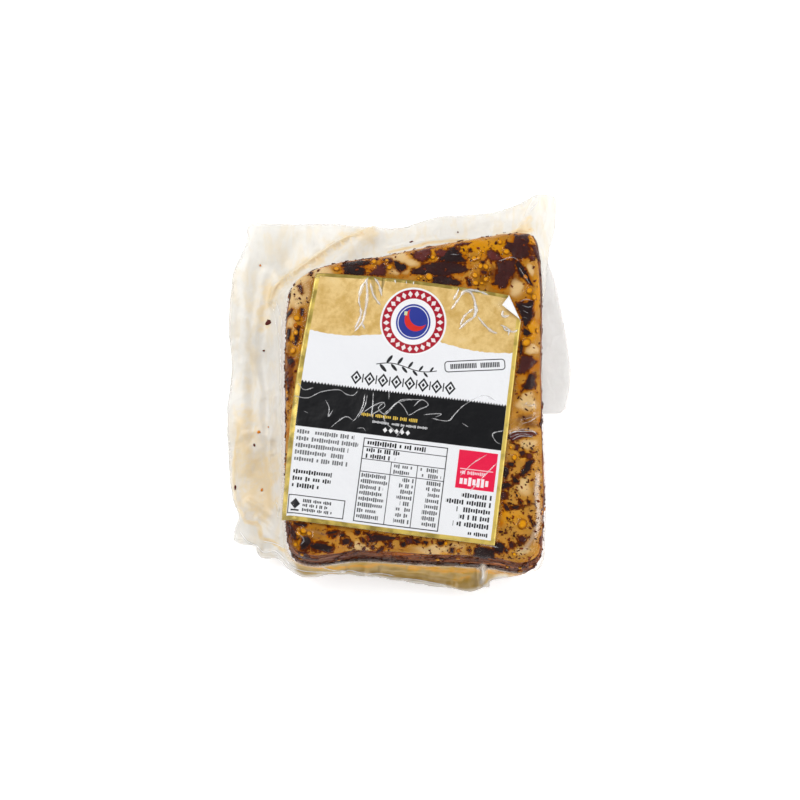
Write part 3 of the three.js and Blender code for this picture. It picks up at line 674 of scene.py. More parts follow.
def spread(places: Array, rows: int) -> Array:
    """Places rows evenly along each direction's section.

    Args:
        places: Fine places by step and direction.
        rows: How many rows to place.

    Returns:
        Places by row and direction.
    """
    steps = np.linalg.norm(np.diff(places, axis=0), axis=2)
    walk = np.vstack([np.zeros(places.shape[1]), np.cumsum(steps, 0)])
    found = np.empty((rows, places.shape[1], 3))
    for d in range(places.shape[1]):
        wanted = np.linspace(0, walk[-1, d], rows)
        for axis in range(3):
            found[:, d, axis] = np.interp(wanted, walk[:, d], places[:, d, axis])
    return found


def around(form: PackForm, angle: Array, r: Array, z: Array) -> Array:
    """Turns distances from the middle and heights into places."""
    x = form.middle[0] + r * np.cos(angle)
    y = form.middle[1] + r * np.sin(angle)
    return np.stack([x, y, z], -1)


def cap_rows(form: PackForm, angle: Array, skin: float, steps: int, turns: int) -> list[Array]:
    """Gives the rows of the upper face, and those of its rounded edge.

    Args:
        form: The pack's form.
        angle: Directions from the middle.
        skin: How far the rows lie inside the form.
        steps: How many rows the face has.
        turns: How many rows the rounded edge has, with the first one, which the face gives.

    Returns:
        The face's places and the edge's, each by row and direction.
    """
    edge = form.reach(form.block_edge, angle) - skin
    round_off = form.shoulder - skin
    inner = np.linspace(0, 1, steps)[:, None] * (edge - round_off)
    turned = np.radians(np.linspace(0, 90, turns))[1:, None]
    flat = around(form, angle, inner, np.zeros_like(inner))
    arc = around(form, angle, edge - round_off * (1 - np.sin(turned)), np.zeros((turns - 1, len(angle))))
    for rows, drop in ((flat, 0), (arc, round_off * (1 - np.cos(turned)))):
        rows[..., 2] = form.face_height(rows[..., 0], rows[..., 1]) - skin - drop
    return [flat, arc]


@dataclass
class MeatBlock:
    """The block of cured belly, with its soft uneven faces and its layers at the sides."""

    form: PackForm
    cells: int = 200
    wall_rows: int = 10
    skin: float = 0.35
    lump_height: float = 0.5
    fine_height: float = 0.35
    layer_height: float = 0.9

    def build(self) -> Piece:
        """Makes the block.

        Returns:
            The undressed piece, with its value wall written on it.
        """
        blank = Blank("meat_block", self.cells, self.wall_rows)
        blank.lay(self.table(blank))
        mesh = blank.piece.data
        places = corners_of(mesh) / MM
        outward = normals_of(mesh)
        facing = ease(np.maximum(-outward[:, 1], 0.6 * outward[:, 0]), 0.1, 0.6)
        wall = 1 - ease(outward[:, 2] - 0.3 * facing, 0.05, 0.4)
        lumps = self.lump_height * rumple(places, 14, 1) + self.fine_height * rumple(places, 3.5, 2)
        layers = rumple(places * (0.25, 0.25, 1.6), 9, 3)
        depth = np.minimum(lumps * (1 - 0.6 * wall) + self.layer_height * wall * layers - 0.25, 0.05)
        base = ease(places[:, 2], 1.0, 4.0)
        move_corners(mesh, (places + outward * (depth * base)[:, None]) * MM)
        note(mesh, "wall", wall)
        return blank.piece

    def table(self, blank: Blank) -> Array:
        """Gives the block's rows: its upper face, shoulder and wall, then its foot.

        Args:
            blank: The lattice that is laid on them.

        Returns:
            Places by row and direction.
        """
        form = self.form
        angle = even_directions(form, blank.directions)
        edge = form.reach(form.block_edge, angle) - self.skin
        flat, arc = cap_rows(form, angle, self.skin, 50, 20)
        drop = np.linspace(0, 1, 30)[1:, None]
        height = arc[-1, :, 2] * (1 - drop) + form.foot * drop
        side = around(form, angle, np.broadcast_to(edge, height.shape), height)
        upper = spread(np.concatenate([flat, arc, side]), blank.rings + 1)
        under = np.radians(np.linspace(0, 90, self.wall_rows + 1))[1:, None]
        z = np.broadcast_to(form.foot * (1 - np.sin(under)) + self.skin, (self.wall_rows, len(angle)))
        foot = around(form, angle, edge - form.foot * (1 - np.cos(under)), z)
        return np.concatenate([upper, foot])


class Kind(Enum):
    """The kinds of chilli in the crust."""

    SLAB = "large_flakes"
    FLAKE = "chilli_flakes"
    SEED = "chilli_seeds"
    SPECK = "chilli_specks"
    LOOSE = "loose_chilli"


# How many sides the round blank of each kind has, and how far in its rings are set, as shares of its radius
BLANK_SIDES = {Kind.SLAB: 44, Kind.FLAKE: 15, Kind.LOOSE: 15}
BLANK_RINGS = {Kind.SLAB: (0.08, 0.14, 0.16, 0.18, 0.18), Kind.FLAKE: (0.2,), Kind.LOOSE: (0.2,)}


@dataclass(frozen=True)
class Sprinkle:
    """How some copies of one kind are scattered.

    sizes and lift are the least and the greatest length and height over the block, slim is the width
    as a share of the length, and apart is how far apart two lie, as a share of their sizes.
    """

    tries: int
    sizes: tuple[float, float]
    slim: float
    apart: float
    lift: tuple[float, float]


@dataclass
class Scatter:
    """One kind of chilli, as joined copies of one small shape that lie on a carrier."""

    kind: Kind
    seed: int
    carrier: BVHTree
    places: list[Array] = field(default_factory=list)
    faces: list[list[int]] = field(default_factory=list)
    tones: list[Array] = field(default_factory=list)
    rims: list[Array] = field(default_factory=list)
    count: int = 0

    def __post_init__(self) -> None:
        """Models the shape that is copied."""
        self.random = np.random.default_rng(self.seed)
        deselect()
        if self.kind is Kind.SEED:
            bpy.ops.mesh.primitive_uv_sphere_add(segments=12, ring_count=6, radius=1)
        elif self.kind is Kind.SPECK:
            bpy.ops.mesh.primitive_ico_sphere_add(subdivisions=1, radius=1)
        else:
            bpy.ops.mesh.primitive_cylinder_add(vertices=BLANK_SIDES[self.kind], radius=1, depth=2,
                                                end_fill_type="NGON")
        shape = bpy.context.object
        if self.kind in BLANK_SIDES:
            bpy.ops.object.mode_set(mode="EDIT")
            bpy.ops.mesh.select_mode(type="FACE")
            bpy.ops.mesh.select_all(action="DESELECT")
            bpy.ops.object.mode_set(mode="OBJECT")
            for face in shape.data.polygons:
                face.select = face.normal.z > 0.9
            bpy.ops.object.mode_set(mode="EDIT")
            for ring in BLANK_RINGS[self.kind]:
                bpy.ops.mesh.inset(thickness=ring)
            bpy.ops.mesh.poke()
            bpy.ops.object.mode_set(mode="OBJECT")
        self.shape = corners_of(shape.data)
        self.far = np.hypot(self.shape[:, 0], self.shape[:, 1])
        self.angle = np.arctan2(self.shape[:, 1], self.shape[:, 0])
        self.pattern = [list(face.vertices) for face in shape.data.polygons]
        bpy.data.objects.remove(shape)

    def broken_edge(self) -> Array:
        """Draws a broken piece's outline: where each corner of the shape lies, in plan."""
        corners = self.random.integers(4, 9)
        turn = TURN * (np.arange(corners) + self.random.uniform(-0.3, 0.3, corners)) / corners
        reach = self.random.uniform(0.62, 1.2, corners)
        outline = np.stack([np.cos(turn), np.sin(turn)], -1) * reach[:, None]
        step = (self.angle / TURN % 1) * corners
        low = np.floor(step).astype(int)
        part = (step - low)[:, None]
        edge = outline[low % corners] * (1 - part) + outline[(low + 1) % corners] * part
        edge = edge * (1 + 0.09 * np.cos(9 * self.angle + TURN * self.random.random()))[:, None]
        return edge * self.far[:, None]

    def shaped(self, length: float, width: float) -> Array:
        """Gives one uneven copy of the shape, lying flat with its middle at the origin.

        Args:
            length: Its length in millimetres.
            width: Its width in millimetres.

        Returns:
            Its places as rows.
        """
        random, far = self.random, self.far
        x, y, z = self.shape.T
        if self.kind is Kind.SEED:
            lens = np.sqrt(np.maximum(1 - far**2, 0))
            far = far**1.4
            ring = 0.34 * np.exp(-((far - 0.75) / 0.3) ** 2) * (z > 0.3)
            x, y = (v * far / np.maximum(self.far, 0.01) * s / 2 for v, s in ((x, length), (y, width)))
            z = np.sign(z) * 0.26 * lens + ring
        elif self.kind is Kind.SPECK:
            rough = 1 + 0.3 * random.standard_normal(len(x))
            x, y = x * rough * length / 2, y * rough * width / 2
            z = z * rough * min(length, width) * random.uniform(0.2, 0.36)
        else:
            x, y = (self.broken_edge() * (length / 2, width / 2)).T
            thick = random.uniform(0.14, 0.24)
            cup = random.uniform(-0.1, 0.35) * far**2 * np.cos(self.angle - TURN * random.random()) ** 2
            z = z * thick * (1 - 0.5 * ease(far, 0.75, 1.0)) + cup
        return np.stack([x, y, z], -1)

    def put(self, place: Array, outward: Array, length: float, width: float, degrees: float,
            lift: float = 0.0, tone: float | None = None) -> None:
        """Lays one copy on the carrier.

        Args:
            place: Its middle, in millimetres.
            outward: The surface's normal there.
            length: Its length in millimetres.
            width: Its width in millimetres.
            degrees: Its turn about the normal, from the direction of +X.
            lift: How far it is raised along the normal.
            tone: Its shade from 0 to 1, or None for a drawn one.
        """
        up = outward / np.linalg.norm(outward)
        side = np.cross(up, (0, 0, 1)) if abs(up[2]) < 0.7 else np.cross((0, 1, 0), up)
        side = side / np.linalg.norm(side)
        front = np.cross(up, side)
        turn = math.radians(degrees)
        along = side * math.cos(turn) + front * math.sin(turn)
        across = np.cross(up, along)
        made = self.shaped(length, width)
        placed = made @ np.stack([along, across, up]) + place + up * lift
        if length > 2:
            flat = placed - np.outer(made[:, 2] + lift, up)
            for i, spot in enumerate(flat):
                near, normal = self.carrier.find_nearest(Vector(spot))[:2]
                placed[i] = np.array(near) + np.array(normal) * (made[i, 2] + lift)
        self.join(placed, self.random.random() if tone is None else tone)

    def join(self, placed: Array, tone: float) -> None:
        """Adds one placed copy and its shade to the piece."""
        self.faces += [[v + self.count for v in face] for face in self.pattern]
        self.places.append(placed)
        self.tones.append(np.full(len(placed), tone))
        self.rims.append(self.far)
        self.count += len(placed)

    def lay(self, outline: Line, tone: float) -> None:
        """Lays one flake of a given outline on the carrier's upper side.

        Args:
            outline: Its corners in plan, in millimetres.
            tone: Its shade from 0 to 1.
        """
        corners = np.array(outline)
        middle = (corners.max(0) + corners.min(0)) / 2
        along = np.linspace(0, 1, 16, endpoint=False)[:, None]
        sides = zip(corners, np.roll(corners, -1, 0))
        edge = np.concatenate([a + (b - a) * along for a, b in sides]) - middle
        turned = np.arctan2(edge[:, 1], edge[:, 0])
        order = np.argsort(turned)
        reach = np.interp(self.angle, turned[order], np.hypot(*edge.T)[order], period=TURN)
        jag = 1 + 0.07 * np.sin(11 * self.angle + 6 * tone) + 0.06 * np.sin(17 * self.angle + corners[0, 0])
        x, y = (middle + np.stack([np.cos(self.angle), np.sin(self.angle)], -1)
                * (reach * jag * self.far)[:, None]).T
        lumps = 0.07 * rumple(np.stack([x, y, 0 * x], -1), 1.8, 61, 2)
        height = np.where(self.shape[:, 2] > 0, 0.22 - 0.1 * ease(self.far, 0.7, 1.0) + lumps, -0.12)
        placed = []
        for px, py, rise in zip(x, y, height):
            near, normal = below(self.carrier, px, py)
            if near is None:
                near, normal = self.carrier.find_nearest(Vector((px, py, 30)))[:2]
            placed.append(np.array(near) + np.array(normal) * rise)
        self.join(np.array(placed), tone)

    def build(self) -> Piece:
        """Joins the copies into one piece, with their values tone and rim."""
        piece = piece_from(self.kind.value, np.concatenate(self.places), self.faces)
        note(piece.data, "tone", np.concatenate(self.tones))
        note(piece.data, "rim", np.concatenate(self.rims))
        return piece


@dataclass
class ChilliCrust:
    """The chilli on the block: flakes, seeds and specks, where the pack shows them."""

    form: PackForm
    label: "Label"
    block: Piece
    named_seeds: tuple[tuple[float, float, float], ...] = (
        (-27.4, 45.8, 3.2), (-11.2, 49.2, 3.0), (-4.5, 46.5, 2.8), (-5.6, 49.6, 2.0), (12.5, 42.4, 3.8),
        (9.0, 42.4, 1.6), (8.0, 41.5, 1.4), (14.3, 51.2, 2.6), (32.0, 50.4, 3.0), (33.9, 50.6, 2.4),
        (34.7, 46.9, 2.8), (37.0, 46.7, 3.2), (32.3, 42.9, 3.2), (32.5, 39.5, 3.0), (37.0, 41.1, 2.8),
        (35.1, 39.2, 1.8), (46.0, 53.5, 3.2), (35.9, 53.7, 1.8), (43.3, 58.0, 2.6), (55.7, 35.9, 3.6),
        (57.6, 33.1, 3.2), (54.1, 13.0, 4.4), (48.3, -37.1, 3.0), (51.2, -65.6, 4.8), (-40.3, -68.4, 3.4),
        (-37.9, -69.6, 2.8), (-42.4, -69.6, 2.4), (-44.4, 24.0, 3.4), (-44.7, 17.5, 2.6), (-45.7, 9.5, 3.2),
        (-43.4, -74.0, 2.2), (19.2, -73.6, 2.0), (46.8, -32.8, 1.8), (58.6, 18.4, 2.4))
    loose_bits: tuple[tuple[float, float, float, float, float], ...] = (
        (-62.8, 57.0, 1.2, 1.0, 0.9), (-58.5, 30.0, 3.4, 2.8, 0.15), (-60.4, 17.1, 1.9, 1.1, 0.2),
        (-62.0, -20.4, 2.2, 1.8, 1.0), (-57.6, -18.3, 0.9, 0.8, 0.7), (-63.8, -25.9, 1.9, 1.0, 0.1),
        (-72.1, -44.2, 3.2, 1.0, 0.0), (-60.2, -45.5, 1.4, 1.2, 0.95), (5.0, 67.3, 2.0, 1.6, 0.1),
        (26.1, 72.5, 1.1, 1.0, 0.0))
    side_flakes: Sprinkle = Sprinkle(420, (1.8, 5.6), 0.6, 0.45, (0.1, 0.25))
    small_flakes: Sprinkle = Sprinkle(460, (0.9, 2.2), 0.55, 0, (0.05, 0.15))
    small_seeds: Sprinkle = Sprinkle(100, (1.6, 2.9), 0.84, 0.75, (0.05, 0.2))
    specks: Sprinkle = Sprinkle(7600, (0.5, 1.9), 0.5, 0, (0.0, 0.1))
    small_share: float = 2.2
    stray: float = 0.4

    def __post_init__(self) -> None:
        """Reads the block's faces, to scatter on."""
        mesh = self.block.data
        self.random = np.random.default_rng(41)
        self.area = np.zeros(len(mesh.polygons))
        mesh.polygons.foreach_get("area", self.area)
        self.centre = rows_of(mesh.polygons, "center") / MM
        self.normal = rows_of(mesh.polygons, "normal")
        x, y, z = self.centre.T
        self.clear = self.label.past(x, y)
        self.free = np.where(self.normal[:, 2] > 0.5, self.clear > -1.5, z > 1.5)
        self.carrier = tree_of([self.block])

    def draw(self, weight: Array, count: int) -> Array:
        """Draws faces of the block at random, more where weight is greater."""
        share = weight * self.area * self.free
        return self.random.choice(len(share), count, p=share / share.sum())

    def scatter(self, kind: Scatter, weight: Array, rule: Sprinkle) -> None:
        """Lays many copies on the block, small ones being commonest.

        Args:
            kind: What is laid.
            weight: How likely each of the block's faces is.
            rule: How many, how large and how close they are.
        """
        least, greatest = rule.sizes
        taken = np.empty((0, 4))
        for face in self.draw(weight, rule.tries):
            size = least + (greatest - least) * self.random.random() ** self.small_share
            place = self.centre[face] + self.random.uniform(-self.stray, self.stray, 3)
            if self.normal[face, 2] > 0.5 and self.clear[face] < 0.25 * size:
                continue
            gap = np.abs(taken[:, :3] - place).max(1)
            if rule.apart and (gap < rule.apart * (size + taken[:, 3]) / 2).any():
                continue
            taken = np.vstack([taken, [*place, size]])
            width = size * rule.slim * self.random.uniform(0.7, 1.3)
            kind.put(place, self.normal[face], size, width, 360 * self.random.random(),
                     self.random.uniform(*rule.lift))

    def build(self) -> list[Piece]:
        """Makes the large flakes, the small ones, the seeds and the specks.

        Returns:
            The four undressed pieces.
        """
        on_top = ease(self.normal[:, 2], 0.3, 0.7)
        rub = rub_of(self.form, self.centre)
        clumps = ease(rumple(self.centre, 7, 51, 2), -0.25, 0.35)
        slabs = Scatter(Kind.SLAB, 13, self.carrier)
        flakes = Scatter(Kind.FLAKE, 3, self.carrier)
        seeds = Scatter(Kind.SEED, 9, self.carrier)
        specks = Scatter(Kind.SPECK, 5, self.carrier)
        for tone, outline in FLAKE_OUTLINES:
            slabs.lay(outline, tone)
        for sx, sy, across in self.named_seeds:
            place, outward = below(self.carrier, sx, sy)
            turn = 360 * self.random.random()
            seeds.put(np.array(place), np.array(outward), across, across * 0.85, turn, 0.3, 0.6)
        self.scatter(flakes, clumps * (0.02 + (1 - on_top)), self.side_flakes)
        self.scatter(flakes, (0.05 + rub) * clumps, self.small_flakes)
        self.scatter(seeds, (0.05 + 0.2 * rub + 0.5 * (1 - on_top)) * clumps, self.small_seeds)
        x, y, _ = self.centre.T
        low = np.maximum(ease(x, 40, 46) * ease(y, -10, -40), ease(y, -64, -70)) * on_top
        self.scatter(specks, (0.05 + rub + 0.45 * low) * (0.2 + clumps), self.specks)
        return [slabs.build(), flakes.build(), seeds.build(), specks.build()]

    def build_loose(self, bag: Piece) -> Piece:
        """Makes the few bits that lie in the margins of the bag."""
        loose = Scatter(Kind.LOOSE, 17, tree_of([bag]))
        for x, y, length, width, tone in self.loose_bits:
            place, normal = below(loose.carrier, x, y)
            turn = 90 if length > 2.9 and width < 1.5 else 360 * self.random.random()
            loose.put(np.array(place), np.array(normal), length, width, turn, 0.0, tone)
        return loose.build()


def rub_of(form: PackForm, places: Array) -> Array:
    """Tells how thickly the chilli rub lies on the block, from 0 to 1.

    Args:
        form: The pack's form.
        places: Places in millimetres.

    Returns:
        One value for each place.
    """
    x, y, z = places.T
    side = ease(2.5 - form.inset(x, y), 0, 2) * ease(form.block_height - z, 3, 8)
    far = 0.22 * ease(y, 34, 44)
    near = ease(y, -62, -70) * (0.15 + 0.14 * ease(x, 5, -35))
    left = 0.3 * ease(x, -36, -42)
    right = ease(x, 38, 46) * (0.1 + 0.2 * ease(y, -25, -55))
    return np.clip(np.maximum.reduce([far, near, left, right, 0.75 * side]), 0, 1)


@dataclass
class Label:
    """The printed paper label with its folded corner, drawn down on the block by the film."""

    form: PackForm
    width: float = 90.0
    height: float = 108.0
    x: float = 1.6
    y: float = -15.5
    degrees: float = -7.2
    gap: float = 0.25
    paper: float = 0.14
    ear_along: float = 7.0
    ear_down: float = 11.6
    ear_curl: float = 0.5
    ear_degrees: float = 167.0
    bow_depth: float = 2.0
    bow_reach: float = 12.0
    arch: float = 1.9
    arch_start: float = 85.0
    steepest: float = math.radians(40)
    columns: int = 132
    rows: int = 158

    def past(self, x: Array, y: Array) -> Array:
        """Tells how far points lie outside the label's rectangle, or less than 0 on it."""
        turn = math.radians(-self.degrees)
        dx, dy = x - self.x, y - self.y
        u = dx * math.cos(turn) - dy * math.sin(turn)
        v = dx * math.sin(turn) + dy * math.cos(turn)
        return np.maximum(abs(u) - self.width / 2, abs(v) - self.height / 2)

    def flat_place(self, u: Array, v: Array) -> tuple[Array, Array]:
        """Turns places on the flat label into places in plan."""
        along, up = (np.sin(np.pi * np.clip(s, 0, 1)) for s in (u / self.width, v / self.height))
        bow = self.bow_depth * np.maximum(0, 1 - u / self.bow_reach) * up
        arch = self.arch * along * ease(v, self.arch_start, self.height)
        turn = math.radians(self.degrees)
        du, dv = u - bow - self.width / 2, v + arch - self.height / 2
        across, up = du * math.cos(turn) - dv * math.sin(turn), du * math.sin(turn) + dv * math.cos(turn)
        return self.x + across, self.y + up

    def wrinkles(self, u: Array, v: Array) -> Array:
        """Gives the paper's own low waves, and the folds that the film's creases press into it."""
        flat = np.stack([u, v, np.zeros_like(u)], -1)
        soft = 0.28 * rumple(flat, 17, 11, 2) + 0.1 * rumple(flat * (1, 0.55, 1), 5, 12, 2)
        folds = np.zeros_like(u)
        for line in GOLD_CREASES:
            folds = np.maximum(folds, 0.3 * np.exp(-(line_distance(u, v, line) / 1.3) ** 2))
        folds -= 0.55 * np.exp(-(line_distance(u, v, TOP_FOLD) / 1.0) ** 2)
        return soft + folds + 0.3

    def build(self, front: bpy.types.Material, back: bpy.types.Material) -> Piece:
        """Makes the label, with the flat label as its UV map.

        Args:
            front: The printed side's material.
            back: The material of the paper's back and edge.

        Returns:
            The dressed piece.
        """
        deselect()
        bpy.ops.mesh.primitive_grid_add(x_subdivisions=self.columns, y_subdivisions=self.rows, size=1)
        piece = bpy.context.object
        piece.name = piece.data.name = "label_sheet"
        flat = (corners_of(piece.data) + 0.5) * (self.width, self.height, 0)
        move_corners(piece.data, flat)
        start = np.array([self.width - self.ear_along, self.height])
        end = np.array([self.width, self.height - self.ear_down])
        along = (end - start) / np.linalg.norm(end - start)
        outward = np.array([-along[1], along[0]])
        bpy.ops.object.mode_set(mode="EDIT")
        bpy.ops.mesh.select_all(action="SELECT")
        bpy.ops.mesh.bisect(plane_co=(*start, 0), plane_no=(*outward, 0))
        bpy.ops.object.mode_set(mode="OBJECT")
        mesh = piece.data
        u, v, _ = corners_of(mesh).T
        layer = mesh.uv_layers.active or mesh.uv_layers.new(name="flat_label")
        owner = np.zeros(len(mesh.loops), int)
        mesh.loops.foreach_get("vertex_index", owner)
        layer.data.foreach_set("uv", np.stack([u / self.width, v / self.height], -1)[owner].ravel())
        past = (u - start[0]) * outward[0] + (v - start[1]) * outward[1]
        lip = math.radians(self.ear_degrees)
        turned = np.clip(past / self.ear_curl, 0, lip)
        beyond = np.maximum(past - self.ear_curl * lip, 0)
        shift = self.ear_curl * np.sin(turned) + beyond * math.cos(lip)
        rise = self.ear_curl * (1 - np.cos(turned)) + beyond * math.sin(lip)
        move = np.where(past > 0, shift - past, 0)
        fu, fv = u + move * outward[0], v + move * outward[1]
        x, y = self.flat_place(fu, fv)
        z = self.form.top_height(x, y, self.steepest) + self.gap + self.wrinkles(fu, fv)
        z += np.where(past > 0, rise, 0)
        move_corners(mesh, np.stack([x, y, z], -1) * MM)
        mesh.materials.append(front)
        mesh.materials.append(back)
        activate(piece)
        wall = piece.modifiers.new("paper", "SOLIDIFY")
        wall.thickness = self.paper * MM
        wall.offset = -1
        wall.material_offset = 1
        wall.material_offset_rim = 1
        bpy.ops.object.modifier_apply(modifier="paper")
        return piece


@dataclass
class FilmBag:
    """The clear bag: film drawn tight on the block, and the loose margins round it.

    A fold is a line in plan with its height and width, and a stain or a painted glint is a line with its
    width and strength; a painted glint is milky haze that stands for a soft highlight on the film. outer_rows
    is how much closer rows lie by the block than by the rim, as a power.
    """

    form: PackForm
    cells: int = 256
    wall_rows: int = 22
    cling: float = 0.1
    rise_limit: float = 3.5
    sealed: float = 0.35
    tent_passes: int = 6
    least_margin: float = 0.9
    outer_rows: float = 2.4
    crinkle: float = 1.1
    softness: float = 0.07
    wave_height: float = 0.45
    ridge_height: float = 0.9
    front_wave: float = 0.5
    folds: tuple[Stroke, ...] = (
        (((-65, 75), (-68, 62), (-69, 44), (-68, 18), (-69, -5), (-67, -40)), 0.9, 3.0), (((-61, 53),
        (-63, 36), (-64, 18), (-62, -5), (-61, -30)), 0.8, 2.2), (((-57, 39), (-56, 44), (-51, 50),
        (-41, 57), (-32, 64), (-25, 68), (-16, 71), (-11, 74)), 1.9, 1.1), (((-51, 44), (-54, 40),
        (-52, 34)), 0.7, 0.8), (((-57, 39), (-54, 33), (-52, 18), (-51, -5)), 0.9, 1.2), (((-72, -27),
        (-73, -41), (-71, -52), (-68, -57), (-65, -62)), 0.5, 1.0), (((-55, -5), (-56, -32), (-53, -50),
        (-52, -55)), 1.1, 1.3), (((-32, 64), (-21, 74), (-9, 75)), 0.6, 2.0), (((-24, 67), (-15, 70),
        (-11, 69)), 0.8, 2.5), (((-5, 64), (23, 69), (32, 68)), 0.6, 0.9), (((32, 76), (41, 78), (48, 75),
        (42, 74)), 0.7, 1.6), (((53, 72), (62, 88)), 1.0, 1.1), (((64, 72), (66, 81), (65, 88)), 0.8, 1.0),
        (((59, 70), (58, 81), (61, 87)), 0.8, 1.0), (((35, -81), (37, -88)), 1.8, 1.1), (((33, -82),
        (34, -89)), 1.0, 0.8), (((-71, -67), (-61, -69), (-60, -73), (-53, -73)), 1.0, 1.2), (((-53, -73),
        (-47, -80), (-41, -83), (-30, -82), (-13, -81.5)), 1.3, 1.0), (((-22, -81), (-3, -84), (13, -86),
        (25, -88)), 1.4, 0.9), (((-8, -81), (10, -82.5), (28, -85)), 1.0, 0.8), (((-62, -58),
        (-50, -68)), 0.9, 1.1), (((-66, -50), (-54, -58)), 0.7, 1.1), (((-60, -4), (-66, 14),
        (-72, 22)), 0.5, 1.6), (((-56, -24), (-64, -20), (-73, -24)), 0.45, 1.4))
    stains: tuple[Stroke, ...] = (
        (((-57, 39), (-56, 44), (-51, 50), (-41, 57), (-32, 64), (-25, 68), (-16, 71)), 0.8, 0.6),
        (((-57, 39), (-56, 44), (-51, 50), (-41, 57), (-28, 68), (-10, 72)), 4.5, 0.3), (((-58, 46),
        (-62, 27)), 4, 0.35), (((-66, 40), (-67, -5)), 3.5, 0.2), (((-71, -18), (-73, -41), (-71, -52),
        (-67, -60)), 0.9, 0.45), (((-67, -60), (-62, -61), (-60, -67), (-56, -69), (-50, -73), (-46, -78),
        (-41, -80)), 1.0, 0.5), (((-68, -15), (-64, -40), (-64, -55)), 6.0, 0.36), (((-57, -30),
        (-58, -62)), 4.5, 0.36), (((-46, -77.4), (-39.5, -81), (-28, -81), (-13, -79.8), (4, -80.8)), 1.0,
        0.8), (((4, -80.8), (22, -81.8), (39, -82.6), (54, -84.2)), 1.3, 0.85), (((-5, 62), (23, 68),
        (32, 68)), 0.8, 0.6), (((53, 70), (58, 78)), 2.6, 0.4), (((42, 68), (52, 72), (59, 72)), 1.6, 0.6),
        (((24, -85), (30, -84)), 1.5, 0.7), (((34, -83), (42, -83.5), (50, -83.5)), 1.6, 0.45), (((49, 66),
        (60, 66)), 1.2, 0.8))
    painted_glints: tuple[Stroke, ...] = (
        (((58, -45), (57, -51.2), (57.6, -57.6), (58.4, -61.8), (57, -67), (54.6, -72.6),
        (51.4, -76.6)), 1.2, 0.7), (((46.5, -26.4), (50, -25), (54.5, -24.8), (58, -26)), 0.8, 0.28),
        (((35, -82), (35.6, -84.5), (35, -87)), 1.0, 1.0), (((52, -14), (55, -14.6), (57.5, -14)), 0.9,
        0.35), (((49, -21), (54, -19.5), (59, -17)), 0.7, 0.3), (((-39.5, -68), (-35, -69),
        (-30.5, -70.2)), 0.7, 0.35), (((-41.5, -71.5), (-37.6, -70.6), (-33, -72)), 0.6, 0.25))

    def build(self, contents: Sequence[Piece]) -> Piece:
        """Makes the bag and draws it down on its contents.

        Args:
            contents: The pieces that the film lies on.

        Returns:
            The undressed piece, with its values haze_and_glint, oil, brine and rim.
        """
        blank = Blank("film_bag", self.cells, self.wall_rows)
        blank.lay(self.table(blank))
        mesh = blank.piece.data
        self.drape(blank, contents)
        self.describe(mesh)
        return blank.piece

    def table(self, blank: Blank) -> Array:
        """Gives the bag's rows: from its middle to its rim, then back under the margin to its base.

        Args:
            blank: The lattice that is laid on them.

        Returns:
            Places by row and direction.
        """
        form = self.form
        angle = even_directions(form, blank.directions)
        edge = form.reach(form.block_edge, angle)
        width = np.maximum(form.reach(form.bag_edge, angle) - edge, self.least_margin)
        flat, arc = cap_rows(form, angle, 0, 60, 22)
        out = width * np.linspace(0, 1, 120)[:, None] ** self.outer_rows
        margin = around(form, angle, edge + out, np.zeros_like(out))
        shoulder_end = form.face_height(margin[0, :, 0], margin[0, :, 1]) - form.shoulder
        web = (shoulder_end - form.seam_height) * np.exp(-out / np.minimum(form.web_reach, 0.35 * width))
        margin[..., 2] = form.margin_height(margin[..., 0], margin[..., 1], out, web)
        upper = spread(np.concatenate([flat, arc[:-1], margin]), blank.rings + 1)
        back = np.linspace(1, 0, self.wall_rows - 8)[1:, None] ** 1.3 * width
        under = around(form, angle, edge + back, np.zeros_like(back))
        height = form.margin_height(under[..., 0], under[..., 1], back, np.zeros_like(back))
        under[..., 2] = np.maximum(height - self.sealed, 0.25)
        drop = np.linspace(0, 1, 4)[1:, None]
        side_z = under[-1, :, 2] * (1 - drop) + form.foot * drop
        side = around(form, angle, np.broadcast_to(edge, side_z.shape), side_z)
        bend = np.radians(np.linspace(0, 90, 7))[1:, None]
        foot_z = np.broadcast_to(form.foot * (1 - np.sin(bend)) + 0.05, (6, len(angle)))
        foot = around(form, angle, edge - form.foot * (1 - np.cos(bend)), foot_z)
        return np.concatenate([upper, under, side, foot])

    def drape(self, blank: Blank, contents: Sequence[Piece]) -> None:
        """Lifts the film over what lies under it, as a tent round each flake, and wrinkles it.

        Args:
            blank: The laid film.
            contents: The pieces that it lies on.
        """
        mesh = blank.piece.data
        places, outward = corners_of(mesh) / MM, normals_of(mesh)
        tree = tree_of(contents)
        upper = blank.row <= blank.rings
        inside = self.form.inset(places[:, 0], places[:, 1]) > -0.4
        lift = np.zeros(len(places))
        for i in np.flatnonzero(upper & inside):
            start = Vector(places[i] + outward[i] * self.rise_limit)
            hit = tree.ray_cast(start, Vector(-outward[i]), 2 * self.rise_limit)[3]
            if hit is not None:
                lift[i] = self.rise_limit - hit + self.cling
        side = 2 * blank.rings + 1
        order = np.full((side, side), -1)
        top = np.flatnonzero(upper)
        order[blank.lattice[top, 0] + blank.rings, blank.lattice[top, 1] + blank.rings] = top
        held = lift[order]
        tent = held.copy()
        for _ in range(self.tent_passes):
            padded = np.pad(tent, 1, mode="edge")
            around_it = (padded[:-2, 1:-1] + padded[2:, 1:-1] + padded[1:-1, :-2] + padded[1:-1, 2:]) / 4
            tent = np.maximum(held, around_it)
        lift[order.ravel()] = tent.ravel()
        flat = places * (1, 1, 0.6)
        x, y, _ = places.T
        out = -self.form.inset(x, y)
        creased = np.maximum(0.1 - np.abs(rumple(flat, 8, 21, 2)), 0) * self.crinkle
        soft = self.softness * rumple(flat, 3.4, 22, 2)
        loose = ease(out, 0.6, 6)
